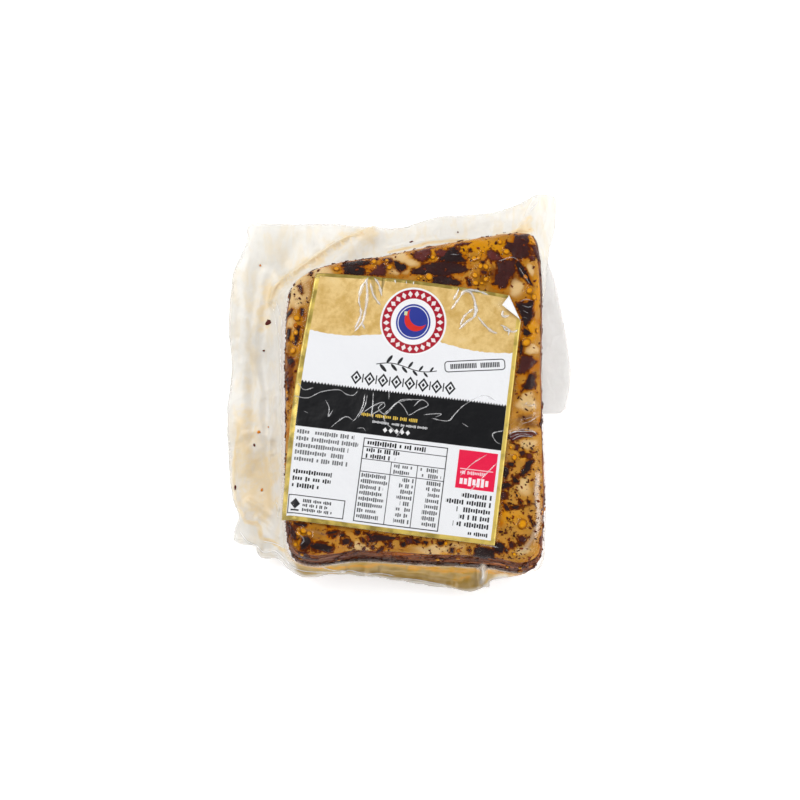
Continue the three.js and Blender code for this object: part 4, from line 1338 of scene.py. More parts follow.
        front = ease(y, -79, -82) * ease(x, 42, 30)
        ridges = np.maximum(0.14 - np.abs(rumple(flat, 16, 24, 2)), 0)
        wave = self.wave_height * rumple(flat, 11, 23, 2) + self.ridge_height * ridges
        wave = wave * loose + self.front_wave * front * rumple(flat * (0.45, 1, 1), 2.6, 25, 2)
        fold = np.zeros(len(x))
        for line, height, width in self.folds:
            gap = line_distance(x, y, smooth_line(line, 8, False))
            fold += height * np.exp(-(gap / width) ** 2) * ease(out, 0.2, 2.0)
        lift += np.where(upper, creased + np.maximum(soft, -0.05), 0) + wave + fold
        moved = places + outward * np.where(upper, lift, 0)[:, None]
        moved[:, 2] += np.where(upper | (out < 0.3), 0, lift)
        floor = np.where(upper, 0.6, 0.12)
        moved[:, 2] = np.where(moved[:, 2] < floor, np.minimum(places[:, 2], floor), moved[:, 2])
        move_corners(mesh, moved * MM)

    def describe(self, mesh: bpy.types.Mesh) -> None:
        """Writes where the film is loose, where oil and brine have run, where the bag's rim is and where
        milky haze is painted as soft highlights.
        """
        places = corners_of(mesh) / MM
        x, y, z = places.T
        out = -self.form.inset(x, y)
        angle = np.arctan2(y - self.form.middle[1], x - self.form.middle[0])
        width = self.form.reach(self.form.bag_edge, angle) - self.form.reach(self.form.block_edge, angle)
        oil = np.zeros(len(x))
        warp = 0.8 * rumple(places, 7, 26, 3), 0.8 * rumple(places, 7, 27, 3)
        for line, reach, strength in self.stains:
            gap = line_distance(x + warp[0] * reach, y + warp[1] * reach, smooth_line(line, 8, False))
            oil = np.maximum(oil, strength * np.exp(-(gap / reach) ** 2))
        near = ease(y, -72, -78) * ease(x, 57, 51) * ease(z, 21, 17.5)
        foot = near * (0.6 + 0.4 * ease(x, -22, 5))
        oil = np.maximum(oil, 0.95 * foot * np.exp(-((out - 0.6) / 0.75) ** 2))
        close = np.exp(-np.maximum(out, 0) / 1.3)
        front = ease(y, -77, -79) * ease(x, 45, 36) * ease(x, -48, -42) * (0.85 + 0.15 * ease(x, -22, 6))
        haze_and_glint = ease(out, 0.1 + 0.2 * near, 2.2 - 1.3 * near) * np.maximum(ease(z, 24, 13), near)
        rim = ease(out, width - 0.8, width - 0.2) * ease(width, 2, 4)
        # Painted highlights: milky haze, with a whiter and clearer rim, laid along lines where the film shows
        # soft glints
        for line, reach, strength in self.painted_glints:
            glint = strength * np.exp(-(line_distance(x, y, smooth_line(line, 8, False)) / reach) ** 2)
            haze_and_glint = np.maximum(haze_and_glint, glint)
            rim = np.maximum(rim, glint * ease(out, 0.3, 1))
        note(mesh, "haze_and_glint", haze_and_glint)
        note(mesh, "oil", np.maximum(oil, 0.35 * close) * ease(out, -0.5, 0.6))
        note(mesh, "brine", np.maximum(front, 0.25 * close) * ease(out, -0.3, 0.8))
        note(mesh, "rim", rim)


def tree_of(pieces: Sequence[Piece]) -> BVHTree:
    """Gives a tree of some pieces' faces in millimetres, for rays."""
    places: list[Array] = []
    faces: list[list[int]] = []
    count = 0
    for piece in pieces:
        here = corners_of(piece.data) / MM
        places.append(here)
        faces += [[v + count for v in face.vertices] for face in piece.data.polygons]
        count += len(here)
    return BVHTree.FromPolygons(np.concatenate(places).tolist(), faces)


@dataclass
class FilmCreases:
    """The sharp creases where the film was drawn together, as thin ridges that lie on it.

    A style is a ridge's width and how milky its crest is; the milky crest is partly whitened film and partly
    a painted highlight.
    """

    label: Label
    gold_style: tuple[float, float] = (1.8, 0.72)
    band_style: tuple[float, float] = (0.75, 0.5)
    meat_style: tuple[float, float] = (0.65, 0.28)
    step: float = 0.45
    across: tuple[float, ...] = (-0.5, -0.22, 0, 0.22, 0.5, 0)
    height: tuple[float, ...] = (-0.06, 0.12, 0.2, 0.12, -0.06, -0.16)
    # Across each ridge: the milky crest, partly whitened film and partly a painted highlight
    whitening_and_highlight: tuple[float, ...] = (0, 0.6, 1, 0.6, 0, 0)

    def build(self, bag: Piece) -> Piece:
        """Makes the creases.

        Args:
            bag: The film that they lie on.

        Returns:
            The undressed piece.
        """
        tree = tree_of([bag])
        random = np.random.default_rng(29)
        places: list[Array] = []
        faces: list[list[int]] = []
        count = 0
        hazes_and_glints: list[Array] = []
        lines: list[tuple[Array, float, float]] = []
        for held, style in ((GOLD_CREASES, self.gold_style), (BAND_CREASES, self.band_style)):
            lines += [(np.stack(self.label.flat_place(*np.array(line).T), -1), *style) for line in held]
        lines += [(np.array(line), *self.meat_style) for line in MEAT_CREASES]
        lines += [(np.array(line), width, haze_and_glint) for line, width, haze_and_glint in SOFT_FOLDS]
        for line, width, haze_and_glint in lines:
            ridge = self.ridge(tree, line, width, random)
            places.append(ridge.reshape(-1, 3))
            rows, around_it = ridge.shape[:2]
            for i in range(rows - 1):
                for j in range(around_it):
                    k = (j + 1) % around_it
                    ring = ((0, j), (1, j), (1, k), (0, k))
                    faces.append([count + (i + a) * around_it + b for a, b in ring])
            faces.append([count + j for j in range(around_it)])
            faces.append([count + rows * around_it - 1 - j for j in range(around_it)])
            count += rows * around_it
            hazes_and_glints.append(np.tile(haze_and_glint * np.array(self.whitening_and_highlight), rows))
        piece = piece_from("film_creases", np.concatenate(places), faces)
        note(piece.data, "haze_and_glint", np.concatenate(hazes_and_glints))
        for name in ("oil", "brine", "rim"):
            note(piece.data, name, np.zeros(count))
        return piece

    def ridge(self, tree: BVHTree, line: Array, width: float, random: np.random.Generator) -> Array:
        """Gives one ridge.

        Args:
            tree: The film that it lies on.
            line: The crease in plan.
            width: How wide it is in millimetres.
            random: What its unevenness is drawn from.

        Returns:
            Its places by row and point round it.
        """
        path = smooth_line(line, 24, False)
        walk = np.concatenate([[0], np.cumsum(np.linalg.norm(np.diff(path, axis=0), axis=1))])
        count = max(5, int(walk[-1] / self.step))
        even = np.linspace(0, walk[-1], count)
        x, y = (np.interp(even, walk, path[:, axis]) for axis in (0, 1))
        ahead = np.stack([np.gradient(x), np.gradient(y), np.zeros(count)], -1)
        ahead /= np.linalg.norm(ahead, axis=1)[:, None]
        flat = np.stack([even, even * 0, even * 0], -1)
        uneven = 0.75 + 0.6 * rumple(flat, 2.2, int(random.integers(900)), 2)
        swell = np.minimum(1, np.minimum(even, walk[-1] - even) / 1.6 + 0.08) * np.maximum(uneven, 0.2)
        across, height = np.array(self.across), np.array(self.height) / max(1, width)
        rows = []
        for i in range(count):
            near, normal = below(tree, x[i], y[i])
            up = np.array(normal)
            side = np.cross(up, ahead[i])
            share = width * swell[i]
            rows.append(np.array(near) + np.outer(across * share, side) + np.outer(height * share, up))
        return np.array(rows)


@dataclass
class BagTail:
    """The end of the bag that is folded under the block and shows past its right side."""

    edge: Line = (
        (66, 62), (70.2, 49), (74.5, 24), (76.1, 9), (75.6, 1), (73.6, -8.2), (71.2, -10.6))
    root: float = 55.0
    floor: float = 0.55
    rise: float = 0.05
    thickness: float = 0.3
    columns: int = 44
    rows: int = 110

    def build(self) -> Piece:
        """Makes the tail.

        Returns:
            An undressed thin sheet with low waves.
        """
        deselect()
        bpy.ops.mesh.primitive_grid_add(x_subdivisions=self.columns, y_subdivisions=self.rows, size=1)
        piece = bpy.context.object
        piece.name = piece.data.name = "bag_tail"
        across, along, _ = (corners_of(piece.data) + 0.5).T
        outline = np.array(self.edge)[::-1]
        walk = np.concatenate([[0], np.cumsum(np.linalg.norm(np.diff(outline, axis=0), axis=1))])
        walk /= walk[-1]
        outer_x, outer_y = np.interp(along, walk, outline[:, 0]), np.interp(along, walk, outline[:, 1])
        x = self.root + (outer_x - self.root) * across
        flat = np.stack([x, outer_y, np.zeros_like(x)], -1)
        ridge = np.maximum(0.14 - np.abs(rumple(flat, 9, 32, 2)), 0)
        lift = 0.35 * (rumple(flat, 12, 31, 2) + 0.5) + 0.5 * ridge
        z = self.floor + self.rise * (x - self.root) + lift * ease(x, 61, 66)
        move_corners(piece.data, np.stack([x, outer_y, z], -1) * MM)
        activate(piece)
        wall = piece.modifiers.new("film", "SOLIDIFY")
        wall.thickness = self.thickness * MM
        wall.offset = 0
        bpy.ops.object.modifier_apply(modifier="film")
        mesh = piece.data
        x, y, _ = (corners_of(mesh) / MM).T
        edge = line_distance(x, y, self.edge)
        note(mesh, "haze_and_glint", np.ones(len(x)))
        note(mesh, "oil", 0 * x)
        note(mesh, "brine", 0 * x)
        note(mesh, "rim", ease(edge, 1.2, 0.3))
        return piece


@dataclass(frozen=True)
class MeatFinish:
    """Cured belly: tan fat stained amber by chilli oil, with brown layers at the sides."""

    cream: Colour = seen(217, 184, 130)
    straw: Colour = seen(199, 152, 76)
    tan: Colour = seen(186, 131, 54)
    khaki: Colour = seen(158, 104, 30)
    amber: Colour = seen(176, 102, 14)
    golden: Colour = seen(208, 140, 18)
    brown: Colour = seen(100, 50, 18)
    halo: Colour = seen(116, 58, 16)
    rust: Colour = seen(78, 30, 10)
    dark: Colour = seen(40, 19, 12)
    layer: Colour = seen(124, 67, 32)
    line: Colour = seen(64, 30, 15)
    thread: Colour = seen(196, 106, 12)

    def make(self) -> bpy.types.Material:
        """Makes the material."""
        g = Graph("cured_belly")
        where = g.place()
        broad = g.noise(where, 13, 2)
        patch = g.noise(where, 4.5, 4, 0.6)
        fine = g.noise(where, 1.2, 3)
        blotch = g.noise(where, 2.0, 4, 0.8)
        wall, shade, oil, glow, rub = (g.attribute(name) for name in ("wall", "shade", "oil", "glow", "rub"))
        fat, gold, brown, pale = (g.attribute(name) for name in ("fat", "gold", "brown", "pale"))
        colour = g.mix(g.ease(broad + patch * 0.5, 0.55, 0.95), self.tan, self.khaki)
        colour = g.mix(g.ease(patch + oil * 0.25 + shade * 0.3 - fat * 0.35, 0.48, 0.78), colour, self.amber)
        colour = g.mix(g.ease(gold + patch * 0.9, 0.8, 1.4) * 0.85, colour, self.golden)
        colour = g.mix(g.ease(brown + blotch * 0.9, 0.85, 1.4) * 0.85, colour, self.brown)
        colour = g.mix(g.ease(pale * 0.9 + patch * 1.2 + broad * 0.5, 1.35, 2.2) * 0.8, colour, self.straw)
        soft_fat = g.ease(fat * 1.2 + broad * 0.3 + patch * 0.5 - shade * 0.6 - glow * 0.3, 0.55, 1.6)
        colour = g.mix(soft_fat * 0.9, colour, self.cream)
        colour = g.mix(g.ease(glow + patch * 0.4, 0.6, 1.3) * 0.4, colour, self.golden)
        colour = g.mix(g.ease(shade + blotch * 0.8, 0.85, 1.35) * 0.85, colour, self.halo)
        rust = g.ease(blotch + rub * 0.3 + shade * 0.2 - glow * 0.12 - fat * 0.15, 0.66, 0.76)
        colour = g.mix(rust * 0.85, colour, self.rust)
        colour = g.mix(g.ease(blotch + rub * 0.25 - glow * 0.1, 0.82, 0.9), colour, self.dark)
        layered = g.noise(g.place((0.2, 0.2, 1.5)), 3.2, 4, 0.5)
        fibre = g.noise(g.place((0.15, 0.15, 2.4)), 2.6, 3, 0.4)
        thin = g.noise(g.place((0.12, 0.12, 3.4)), 1.9, 3, 0.3)
        bark = g.mix(g.ease(thin, 0.44, 0.6), self.line, self.layer)
        bark = g.mix(g.ease(fibre, 0.57, 0.68) * 0.9, bark, self.thread)
        bark = g.mix(g.ease(layered, 0.62, 0.72) * 0.7, bark, self.khaki)
        colour = g.mix(g.ease(wall + layered * 0.5, 0.55, 0.95), colour, bark)
        height = fine * 0.5 + patch + thin * wall
        return g.surface(Base_Color=colour, Roughness=g.ease(fine, 0.3, 0.7, 0.28, 0.48),
                         Normal=g.bump(height, 0.5, 0.6), Specular_IOR_Level=0.08, Subsurface_Weight=0.12,
                         Subsurface_Radius=(1.0, 0.4, 0.15), Subsurface_Scale=0.0018)


@dataclass(frozen=True)
class ChilliFinish:
    """Dried chilli: dark flakes, golden seeds or red-brown specks, wet with oil."""

    kind: Kind
    dark: Colour
    light: Colour
    rim: Colour
    roughness: float

    def make(self) -> bpy.types.Material:
        """Makes the material."""
        g = Graph(self.kind.value)
        where = g.place()
        tone = g.attribute("tone")
        rim = g.attribute("rim")
        streak = g.noise(g.place((1, 2.6, 1)), 1.3, 4, 0.8)
        cloud = g.noise(where, 3.2, 3)
        if self.kind is Kind.SEED:
            body = g.mix(g.ease(tone * 0.7 + streak * 0.5, 0.25, 0.95), self.dark, self.light)
            share = g.most(g.ease(rim + streak * 0.3, 0.65, 1.1), g.ease(rim + tone, 0.62, 0.3) * 0.8)
        else:
            body = g.mix(g.ease(tone * 0.9 + streak * 0.2 + cloud * 0.35, 0.4, 1.2), self.dark, self.light)
            share = g.ease(rim + streak * 0.3, 0.9, 1.2)
        colour = g.mix(share * 0.7, body, self.rim)
        height = g.noise(where, 0.8, 3) + streak
        return g.surface(Base_Color=colour, Roughness=self.roughness, Normal=g.bump(height, 0.3, 0.6),
                         Specular_IOR_Level=0.15)


@dataclass(frozen=True)
class FilmFinish:
    """Clear film: a faint gloss where it is tight, milky where it lies loose and where haze is painted as a
    soft highlight, amber where oil has run.
    """

    gloss: float = 0.006
    clear: Colour = seen(255, 248, 236)
    milky: Colour = seen(232, 229, 221)
    creamy: Colour = seen(240, 214, 160)
    oily: Colour = seen(206, 144, 16)
    briny: Colour = seen(168, 132, 44)
    rim: Colour = seen(236, 233, 224)
    cover: float = 0.39
    shine: float = 1.0

    def make(self, name: str) -> bpy.types.Material:
        """Makes the material."""
        g = Graph(name)
        where = g.place()
        haze_and_glint, oil, brine, rim = (g.attribute(value) for value in ("haze_and_glint", "oil", "brine", "rim"))
        soft = g.noise(where, 9, 3)
        streak = g.noise(g.place((1, 0.3, 1)), 3.5, 3, 0.4)
        cloud = g.noise(where, 5, 5, 0.8)
        oil_here = oil * g.ease(cloud + streak * 0.3, 0.3, 0.75, 0.55, 1.15)
        brine_here = g.ease(brine + soft * 0.4 - 0.2, 0.2, 0.8)
        faint = g.mix(g.ease(streak + soft * 0.5, 0.65, 0.95) * 0.35, self.milky, self.creamy)
        tinted = g.mix(g.ease(oil_here, 0.05, 0.45), faint, self.creamy)
        tinted = g.mix(g.ease(oil_here, 0.4, 0.95), g.mix(brine_here * 0.9, tinted, self.briny), self.oily)
        colour = g.mix(haze_and_glint, self.clear, g.mix(rim * 0.7, tinted, self.rim))
        body = self.cover + soft * 0.2 + oil_here * 0.15 + brine_here * 0.45
        alpha = self.gloss + haze_and_glint * body * (1 - rim * 0.35)
        height = g.noise(where, 2.5, 2) * 0.5 + g.noise(g.place((1, 0.35, 1)), 1.6, 2) * haze_and_glint
        return g.surface(Base_Color=colour, Metallic=(1 - haze_and_glint) * self.shine,
                         Roughness=0.1 + haze_and_glint * 0.16, Alpha=alpha, Normal=g.bump(height, 0.3, 0.5))


# Each kind's dark, light and edge colours and its roughness
CHILLI_FINISHES = (
    ChilliFinish(Kind.SLAB, seen(40, 27, 27), seen(92, 42, 38), seen(62, 27, 15), 0.42),
    ChilliFinish(Kind.FLAKE, seen(42, 26, 23), seen(96, 42, 26), seen(88, 38, 14), 0.42),
    ChilliFinish(Kind.SEED, seen(196, 112, 6), seen(228, 160, 20), seen(110, 52, 8), 0.35),
    ChilliFinish(Kind.SPECK, seen(64, 27, 12), seen(124, 54, 14), seen(84, 36, 11), 0.42),
    ChilliFinish(Kind.LOOSE, seen(84, 24, 16), seen(224, 130, 24), seen(96, 34, 14), 0.4))
# The creases' film: near-white milky crests, partly whitened film and partly a painted highlight along each
# crease
CREASE_WHITENING_AND_HIGHLIGHT = FilmFinish(gloss=0.1, clear=seen(250, 250, 254), milky=seen(255, 254, 252),
                          creamy=seen(255, 252, 244), cover=0.65, shine=0.4)
TAIL_FILM = FilmFinish(milky=seen(243, 243, 241), creamy=seen(242, 242, 239), cover=0.33)


class LabelPrint:
    """The label's print, drawn in millimetres from its lower left corner."""

    PAPER = seen(233, 234, 237)
    GOLD = seen(230, 197, 132)
    DEEP_GOLD = seen(204, 166, 94)
    BRIGHT_GOLD = seen(240, 216, 164)
    INK = seen(36, 36, 40)
    BLACK = seen(14, 15, 19)
    RED = seen(228, 30, 72)
    MAROON = seen(166, 28, 46)
    NAVY = seen(50, 60, 146)
    YELLOW = seen(226, 190, 80)
    PALE = seen(240, 240, 242)
    # The border's shaded olive and lit gold, the two ends of its painted sheen
    SHADED_OLIVE_EDGE = seen(154, 134, 66)
    LIT_EDGE = seen(228, 200, 104)
    # The painted shade of the label's top fold: its colour, then each wedge's place, lean, lower end,
    # widening and strength
    FOLD_SHADE = seen(116, 100, 50)
    SHADE_WEDGES = ((29.2, 0.04, 98.5, 0.08, 0.75), (25.8, -0.3, 96.0, 0.09, 0.35))
    SEAL_PLACE = (44.4, 90.9)
    LOZENGES = 26
    STAMP_PLACE = (72.8, 75.7)
    SOFT = 0.12

    def __init__(self, width: float, height: float) -> None:
        """Starts the print.

        Args:
            width: The label's width in millimetres.
            height: Its height in millimetres.
        """
        self.g = Graph("label_print")
        self.width = width
        self.height = height
        mapped = self.g.node("ShaderNodeTexCoord").outputs["UV"]
        split = self.g.node("ShaderNodeSeparateXYZ", None, {0: mapped})
        self.u, self.v = (Term(self.g, split.outputs[i]) * size for i, size in enumerate((width, height)))
        self.colour: Any = self.PAPER

    def ink(self, distance: Term, colour: Any, strength: float = 1.0) -> None:
        """Prints a colour where a distance is less than 0."""
        share = self.g.math("MULTIPLY", self.cover(distance), strength)
        self.colour = self.g.mix(share, self.colour, colour)

    def cover(self, distance: Term) -> Term:
        """Is 1 inside a shape and 0 outside, from its distance."""
        return self.g.math("SUBTRACT", 0.5, distance / self.SOFT, clamp=True)

    def box(self, left: float, low: float, right: float, high: float, across: Term | None = None,
            up: Term | None = None) -> Term:
        """Gives the distance to a rectangle, in the label's own or other axes."""
        across = abs((self.u if across is None else across) - (left + right) / 2) - (right - left) / 2
        up = abs((self.v if up is None else up) - (low + high) / 2) - (high - low) / 2
        return self.g.most(across, up)

    def frame(self, shape: Term, line: float) -> Term:
        """Gives the distance to a shape's outline of a line's width."""
        return abs(shape) - line / 2

    def disc(self, u: float, v: float, radius: float) -> Term:
        """Gives the distance to a disc."""
        du, dv = self.u - u, self.v - v
        return self.g.math("SQRT", du * du + dv * dv) - radius

    def lozenge(self, across: Term, up: Term, half_width: float, half_height: float) -> Term:
        """Gives about the distance to a lozenge round a point."""
        return (abs(across) / half_width + abs(up) / half_height - 1) * (half_width * half_height / (
            half_width + half_height) * 1.4)

    def tilted(self, u: float, v: float, degrees: float) -> tuple[Term, Term]:
        """Gives axes that are turned about a point."""
        turn = math.radians(degrees)
        du, dv = self.u - u, self.v - v
        return du * math.cos(turn) + dv * math.sin(turn), dv * math.cos(turn) - du * math.sin(turn)

    def rows(self, left: float, right: float, top: float, pitch: float, count: int, height: float, seed: int,
             from_right: bool = False) -> Term:
        """Gives the distance to rows of short plain strokes in groups, in place of words.

        Args:
            left: Where the rows start.
            right: Where the longest row ends.
            top: The upper edge of the first row's space.
            pitch: The space from row to row.
            count: How many rows.
            height: The height of the strokes.
            seed: Which lengths.
            from_right: Whether the rows are set to the right edge.

        Returns:
            A distance that is less than 0 on the strokes.
        """
        g = self.g
        down = (top - self.v) / pitch
        row, within = g.cell(down)
        span = right - left
        along = right - self.u if from_right else self.u - left
        length = span * (1 - 0.36 * g.chance(row, seed))
        step = height * 0.5
        cell, part = g.cell(along / step)
        gap = g.chance(cell, row * 7 + seed) < 0.12
        tall = height * (0.34 + 0.16 * (g.chance(cell, row * 3 + seed + 50) > 0.55))
        ends = g.most(abs(along - length / 2) - length / 2, abs(down - count / 2) * pitch - count * pitch / 2)
        return g.most(abs(part) * step - height * 0.175, abs(within) * pitch - tall, ends) + gap

    def gold_field(self) -> None:
        """Prints the mottled gold field at the top and the gold border, with a painted sheen on the border
        and painted shade where the top edge folds.
        """
        g = self.g
        self.flat = g.term(0, "ShaderNodeCombineXYZ", {0: self.u, 1: self.v})
        cloud = g.noise(self.flat, 9, 4, 0.5)
        grain = g.noise(self.flat, 1.6, 3)
        gold = g.mix(g.ease(cloud + grain * 0.4, 0.5, 0.85), self.DEEP_GOLD, self.GOLD)
        gold = g.mix(g.ease(cloud + grain * 0.2, 0.7, 0.95) * 0.5, gold, self.BRIGHT_GOLD)
        wave = 83.7 + g.math("COSINE", (self.u - 43) * (math.pi / 31)) * 1.6
        torn = wave + (g.noise(self.flat, 2.2, 4) - 0.5) * 1.4
        self.field = self.cover(torn - self.v)
        rough_border = (g.noise(self.flat, 3, 2) - 0.5) * 0.3
        inner = self.box(2.0, 1.9, self.width - 1.9, self.height - 1.5)
        self.border = 1 - self.cover(inner + rough_border)
        self.gold_share = g.most(self.field, self.border)
        self.colour = g.mix(self.field, self.colour, gold)
        # Painted sheen on the gold border: brighter towards the right and darker along the top edge, over a
        # cloudy variation of its tone
        stripe = g.noise(self.flat, 6, 3)
        lit = stripe + g.ease(self.u, 40, 88) * 0.12 - g.ease(self.v, 105, 106.5) * 0.15
        edge = g.mix(g.ease(lit, 0.35, 0.65), self.SHADED_OLIVE_EDGE, self.LIT_EDGE)
        self.colour = g.mix(self.border, self.colour, edge)
        # Painted shade: dark olive wedges where the label folds down at its top edge, under the film's fold
        for u, lean, low, widening, share in self.SHADE_WEDGES:
            off = abs(self.u - u - (self.v - 103) * lean)
            self.ink(g.most(off - (self.v - low) * widening, low - self.v), self.FOLD_SHADE, share)

    def seal(self) -> None:
        """Prints a plain round field: a ring of lozenges round a simple curved shape."""
        g = self.g
        u, v = self.SEAL_PLACE
        du, dv = self.u - u, self.v - v
        angle = g.math("ARCTAN2", dv, du)
        far = g.math("SQRT", du * du + dv * dv)
        self.ink(far - 14.2, self.PALE)
        self.ink(far - 13.4, self.MAROON)
        across = g.cell(angle * (self.LOZENGES / TURN))[1] * (TURN * 11.5 / self.LOZENGES)
        self.ink(self.lozenge(across, far - 11.5, 1.0, 1.35), seen(236, 226, 226))
        self.ink(far - 9.6, self.PALE)
        self.ink(far - 7.4, self.NAVY)
        self.ink(self.frame(far - 6.5, 0.35), seen(226, 228, 240))
        pepper = g.most(self.disc(u + 0.9, v + 1.2, 4.8), 0 - self.disc(u + 2.5, v + 3.4, 4.7))
        self.ink(pepper, seen(214, 50, 44))
        self.ink(self.box(u - 4.3, v + 2.5, u - 3.0, v + 4.1), seen(200, 214, 170))

    def title(self) -> None:
        """Prints a leafy sprig and a row of lozenges between short bars."""
        g = self.g
        parts: list[Term] = []
        for i in range(10):
            u, side = 33.2 + 2.3 * i, 1 if i % 2 else -1
            v = 71.2 + 1.1 * math.sin((u - 31) * 0.24) + side * (1.9 - 0.09 * i)
            across, up = self.tilted(u + 0.9, v, side * 52 + 8)
            half_long, half_wide = 2.15 - 0.1 * i, 0.72 - 0.03 * i
            leaf = g.math("SQRT", across * across / half_long**2 + up * up / half_wide**2)
            parts.append((leaf - 1) * half_wide)
        stem = abs(self.v - 71.2 - g.math("SINE", (self.u - 31) * 0.24) * 1.1) - 0.2
        parts.append(g.most(stem, abs(self.u - 44) - 13))
        self.ink(g.least(*parts), self.INK)
        pitch = 5.75
        across = g.cell((self.u - 20.4) / pitch)[1] * pitch
        up = self.v - 64.4
        inside = abs(self.u - 43.4) - 4 * pitch
        shape = g.least(self.frame(self.lozenge(across, up, 1.9, 2.5), 0.72),
                        self.lozenge(across, up, 0.75, 1.0))
        self.ink(g.most(shape, inside), self.INK)
        bar = g.most(2.62 - abs(across), abs(up) - 1.9)
        self.ink(g.most(bar, inside + 0.6), self.INK)

    def stamp(self) -> None:
        """Prints the tilted rounded stamp with plain strokes in it."""
        g = self.g
        across, up = self.tilted(*self.STAMP_PLACE, 10.5)
        corner = g.math("SQRT", g.math("POWER", g.most(abs(across) - 11.4, 0.0), 2.0)
                        + g.math("POWER", g.most(abs(up) - 0.9, 0.0), 2.0)) - 1.4
        self.ink(self.frame(corner, 0.42), self.INK)
        part = abs(g.cell((across + 10.6) / 1.52)[1]) * 1.52
        strokes = g.most(abs(part - 0.36) - 0.26, abs(up) - 1.1, abs(across) - 10.6, 0.8 - abs(across - 1.5))
        self.ink(strokes, self.INK)

    def band(self) -> None:
        """Prints the black band with its toothed upper edge, its lines and a row of small lozenges."""
        g = self.g
        teeth = abs(g.cell(self.u / 1.2)[1]) * 2.0
        inside = g.most(2.0 - self.u, self.u - (self.width - 1.9))
        self.ink(g.most(self.v - 59.5 - teeth, 40.4 - self.v, inside), self.BLACK)
        self.ink(self.rows(27.5, 60.5, 49.9, 2.3, 1, 1.5, 5), self.YELLOW, 0.9)
        self.ink(self.rows(32, 56.5, 46.9, 1.7, 1, 1.1, 8), seen(214, 214, 216), 0.9)
        across = g.cell((self.u - 37.2) / 2.42)[1] * 2.42
        shape = self.lozenge(across, self.v - 43.1, 0.95, 1.15)
        self.ink(g.most(shape, abs(self.u - 43.25) - 6.05), seen(232, 232, 232))

    def small_print(self) -> None:
        """Prints rows of strokes in place of words, a ruled table, a rounded box and a red square."""
        self.ink(self.rows(2.8, 29.5, 39.6, 2.95, 5, 1.9, 2), self.INK, 0.85)
        self.ink(self.rows(3, 20, 22.4, 2.95, 3, 2.0, 3), self.BLACK)
        self.ink(self.rows(67, 86.6, 21.2, 3.1, 5, 2.1, 4, True), self.INK)
        self.ink(self.rows(75, 86.6, 4.9, 2.4, 1, 1.7, 6, True), self.BLACK)
        self.table()
        box = self.box(2.8, 3.5, 25.2, 10.4) - 0.4
        self.ink(self.frame(box, 0.4), self.INK)
        self.ink(self.rows(8.2, 24.6, 9.8, 1.95, 3, 1.4, 7), self.INK)
        self.ink(self.lozenge(self.u - 5.3, self.v - 7.2, 2.0, 2.3), self.INK)
        self.ink(self.box(3.6, 4.1, 7.0, 4.8), self.INK)
        self.ink(self.box(70.6, 22.4, 87.0, 38.8), self.RED)
        self.ink(self.box(71.8, 30.6, 85.8, 31.0), seen(238, 190, 200))
        self.ink(self.rows(72, 86.5, 30.3, 2.1, 1, 1.5, 20), seen(240, 200, 208))
        self.ink(self.rows(72, 86.5, 27.6, 4.2, 1, 3.6, 21), seen(244, 232, 236))

    def table(self) -> None:
        """Prints the ruled table with bars in its columns."""
        sheet = (30.2, 3.0, 65.6, 38.6)
        rules = [self.frame(self.box(*sheet), 0.42)]
        rules += [self.box(sheet[0], level - 0.17, sheet[2], level + 0.17) for level in (24.3, 29.7, 35.0)]
        rules += [self.box(left - 0.17, sheet[1], left + 0.17, 29.7) for left in (42.9, 54.0)]
        self.ink(self.g.least(*rules), self.INK)
        self.ink(self.rows(31.6, 66.0, 38.3, 3.0, 1, 2.1, 12), self.BLACK)
        self.ink(self.rows(31.6, 51, 35.0, 2.6, 2, 1.9, 10), self.BLACK)
        columns = ((44, 53.2, 29.5, 2.5, 2, 14, False), (55.2, 64.4, 29.5, 2.5, 2, 15, False),
                   (30.9, 43.5, 24.0, 2.5, 8, 16, False), (46, 53.2, 24.0, 2.5, 8, 17, True),
                   (57, 64.6, 24.0, 2.5, 8, 18, True))
        words = [self.rows(left, right, top, pitch, count, 1.75, seed, end)
                 for left, right, top, pitch, count, seed, end in columns]
        self.ink(self.g.least(*words), self.INK, 0.9)

    def make(self) -> bpy.types.Material:
        """Makes the material."""
        self.gold_field()
        self.band()
        self.title()
        self.stamp()
        self.seal()
        self.small_print()
        g = self.g
        height = g.noise(self.flat, 5, 3) + g.noise(self.flat, 1.2, 2) * 0.12
        metal = self.field * 0.08 + self.border * 0.3
        return g.surface(Base_Color=self.colour, Metallic=metal, Roughness=0.45 - self.gold_share * 0.08,
                         Specular_IOR_Level=0.3, Normal=g.bump(height, 0.7, 0.5))


def paper_back() -> bpy.types.Material:
    """Makes the white back of the label's paper, with a faint grain."""
    g = Graph("label_back")
    grain = g.noise(g.place(), 0.9, 4)
    colour = g.mix(grain, seen(236, 236, 234), seen(250, 250, 250))
    return g.surface(Base_Color=colour, Roughness=0.6, Normal=g.bump(grain, 0.1, 0.5))


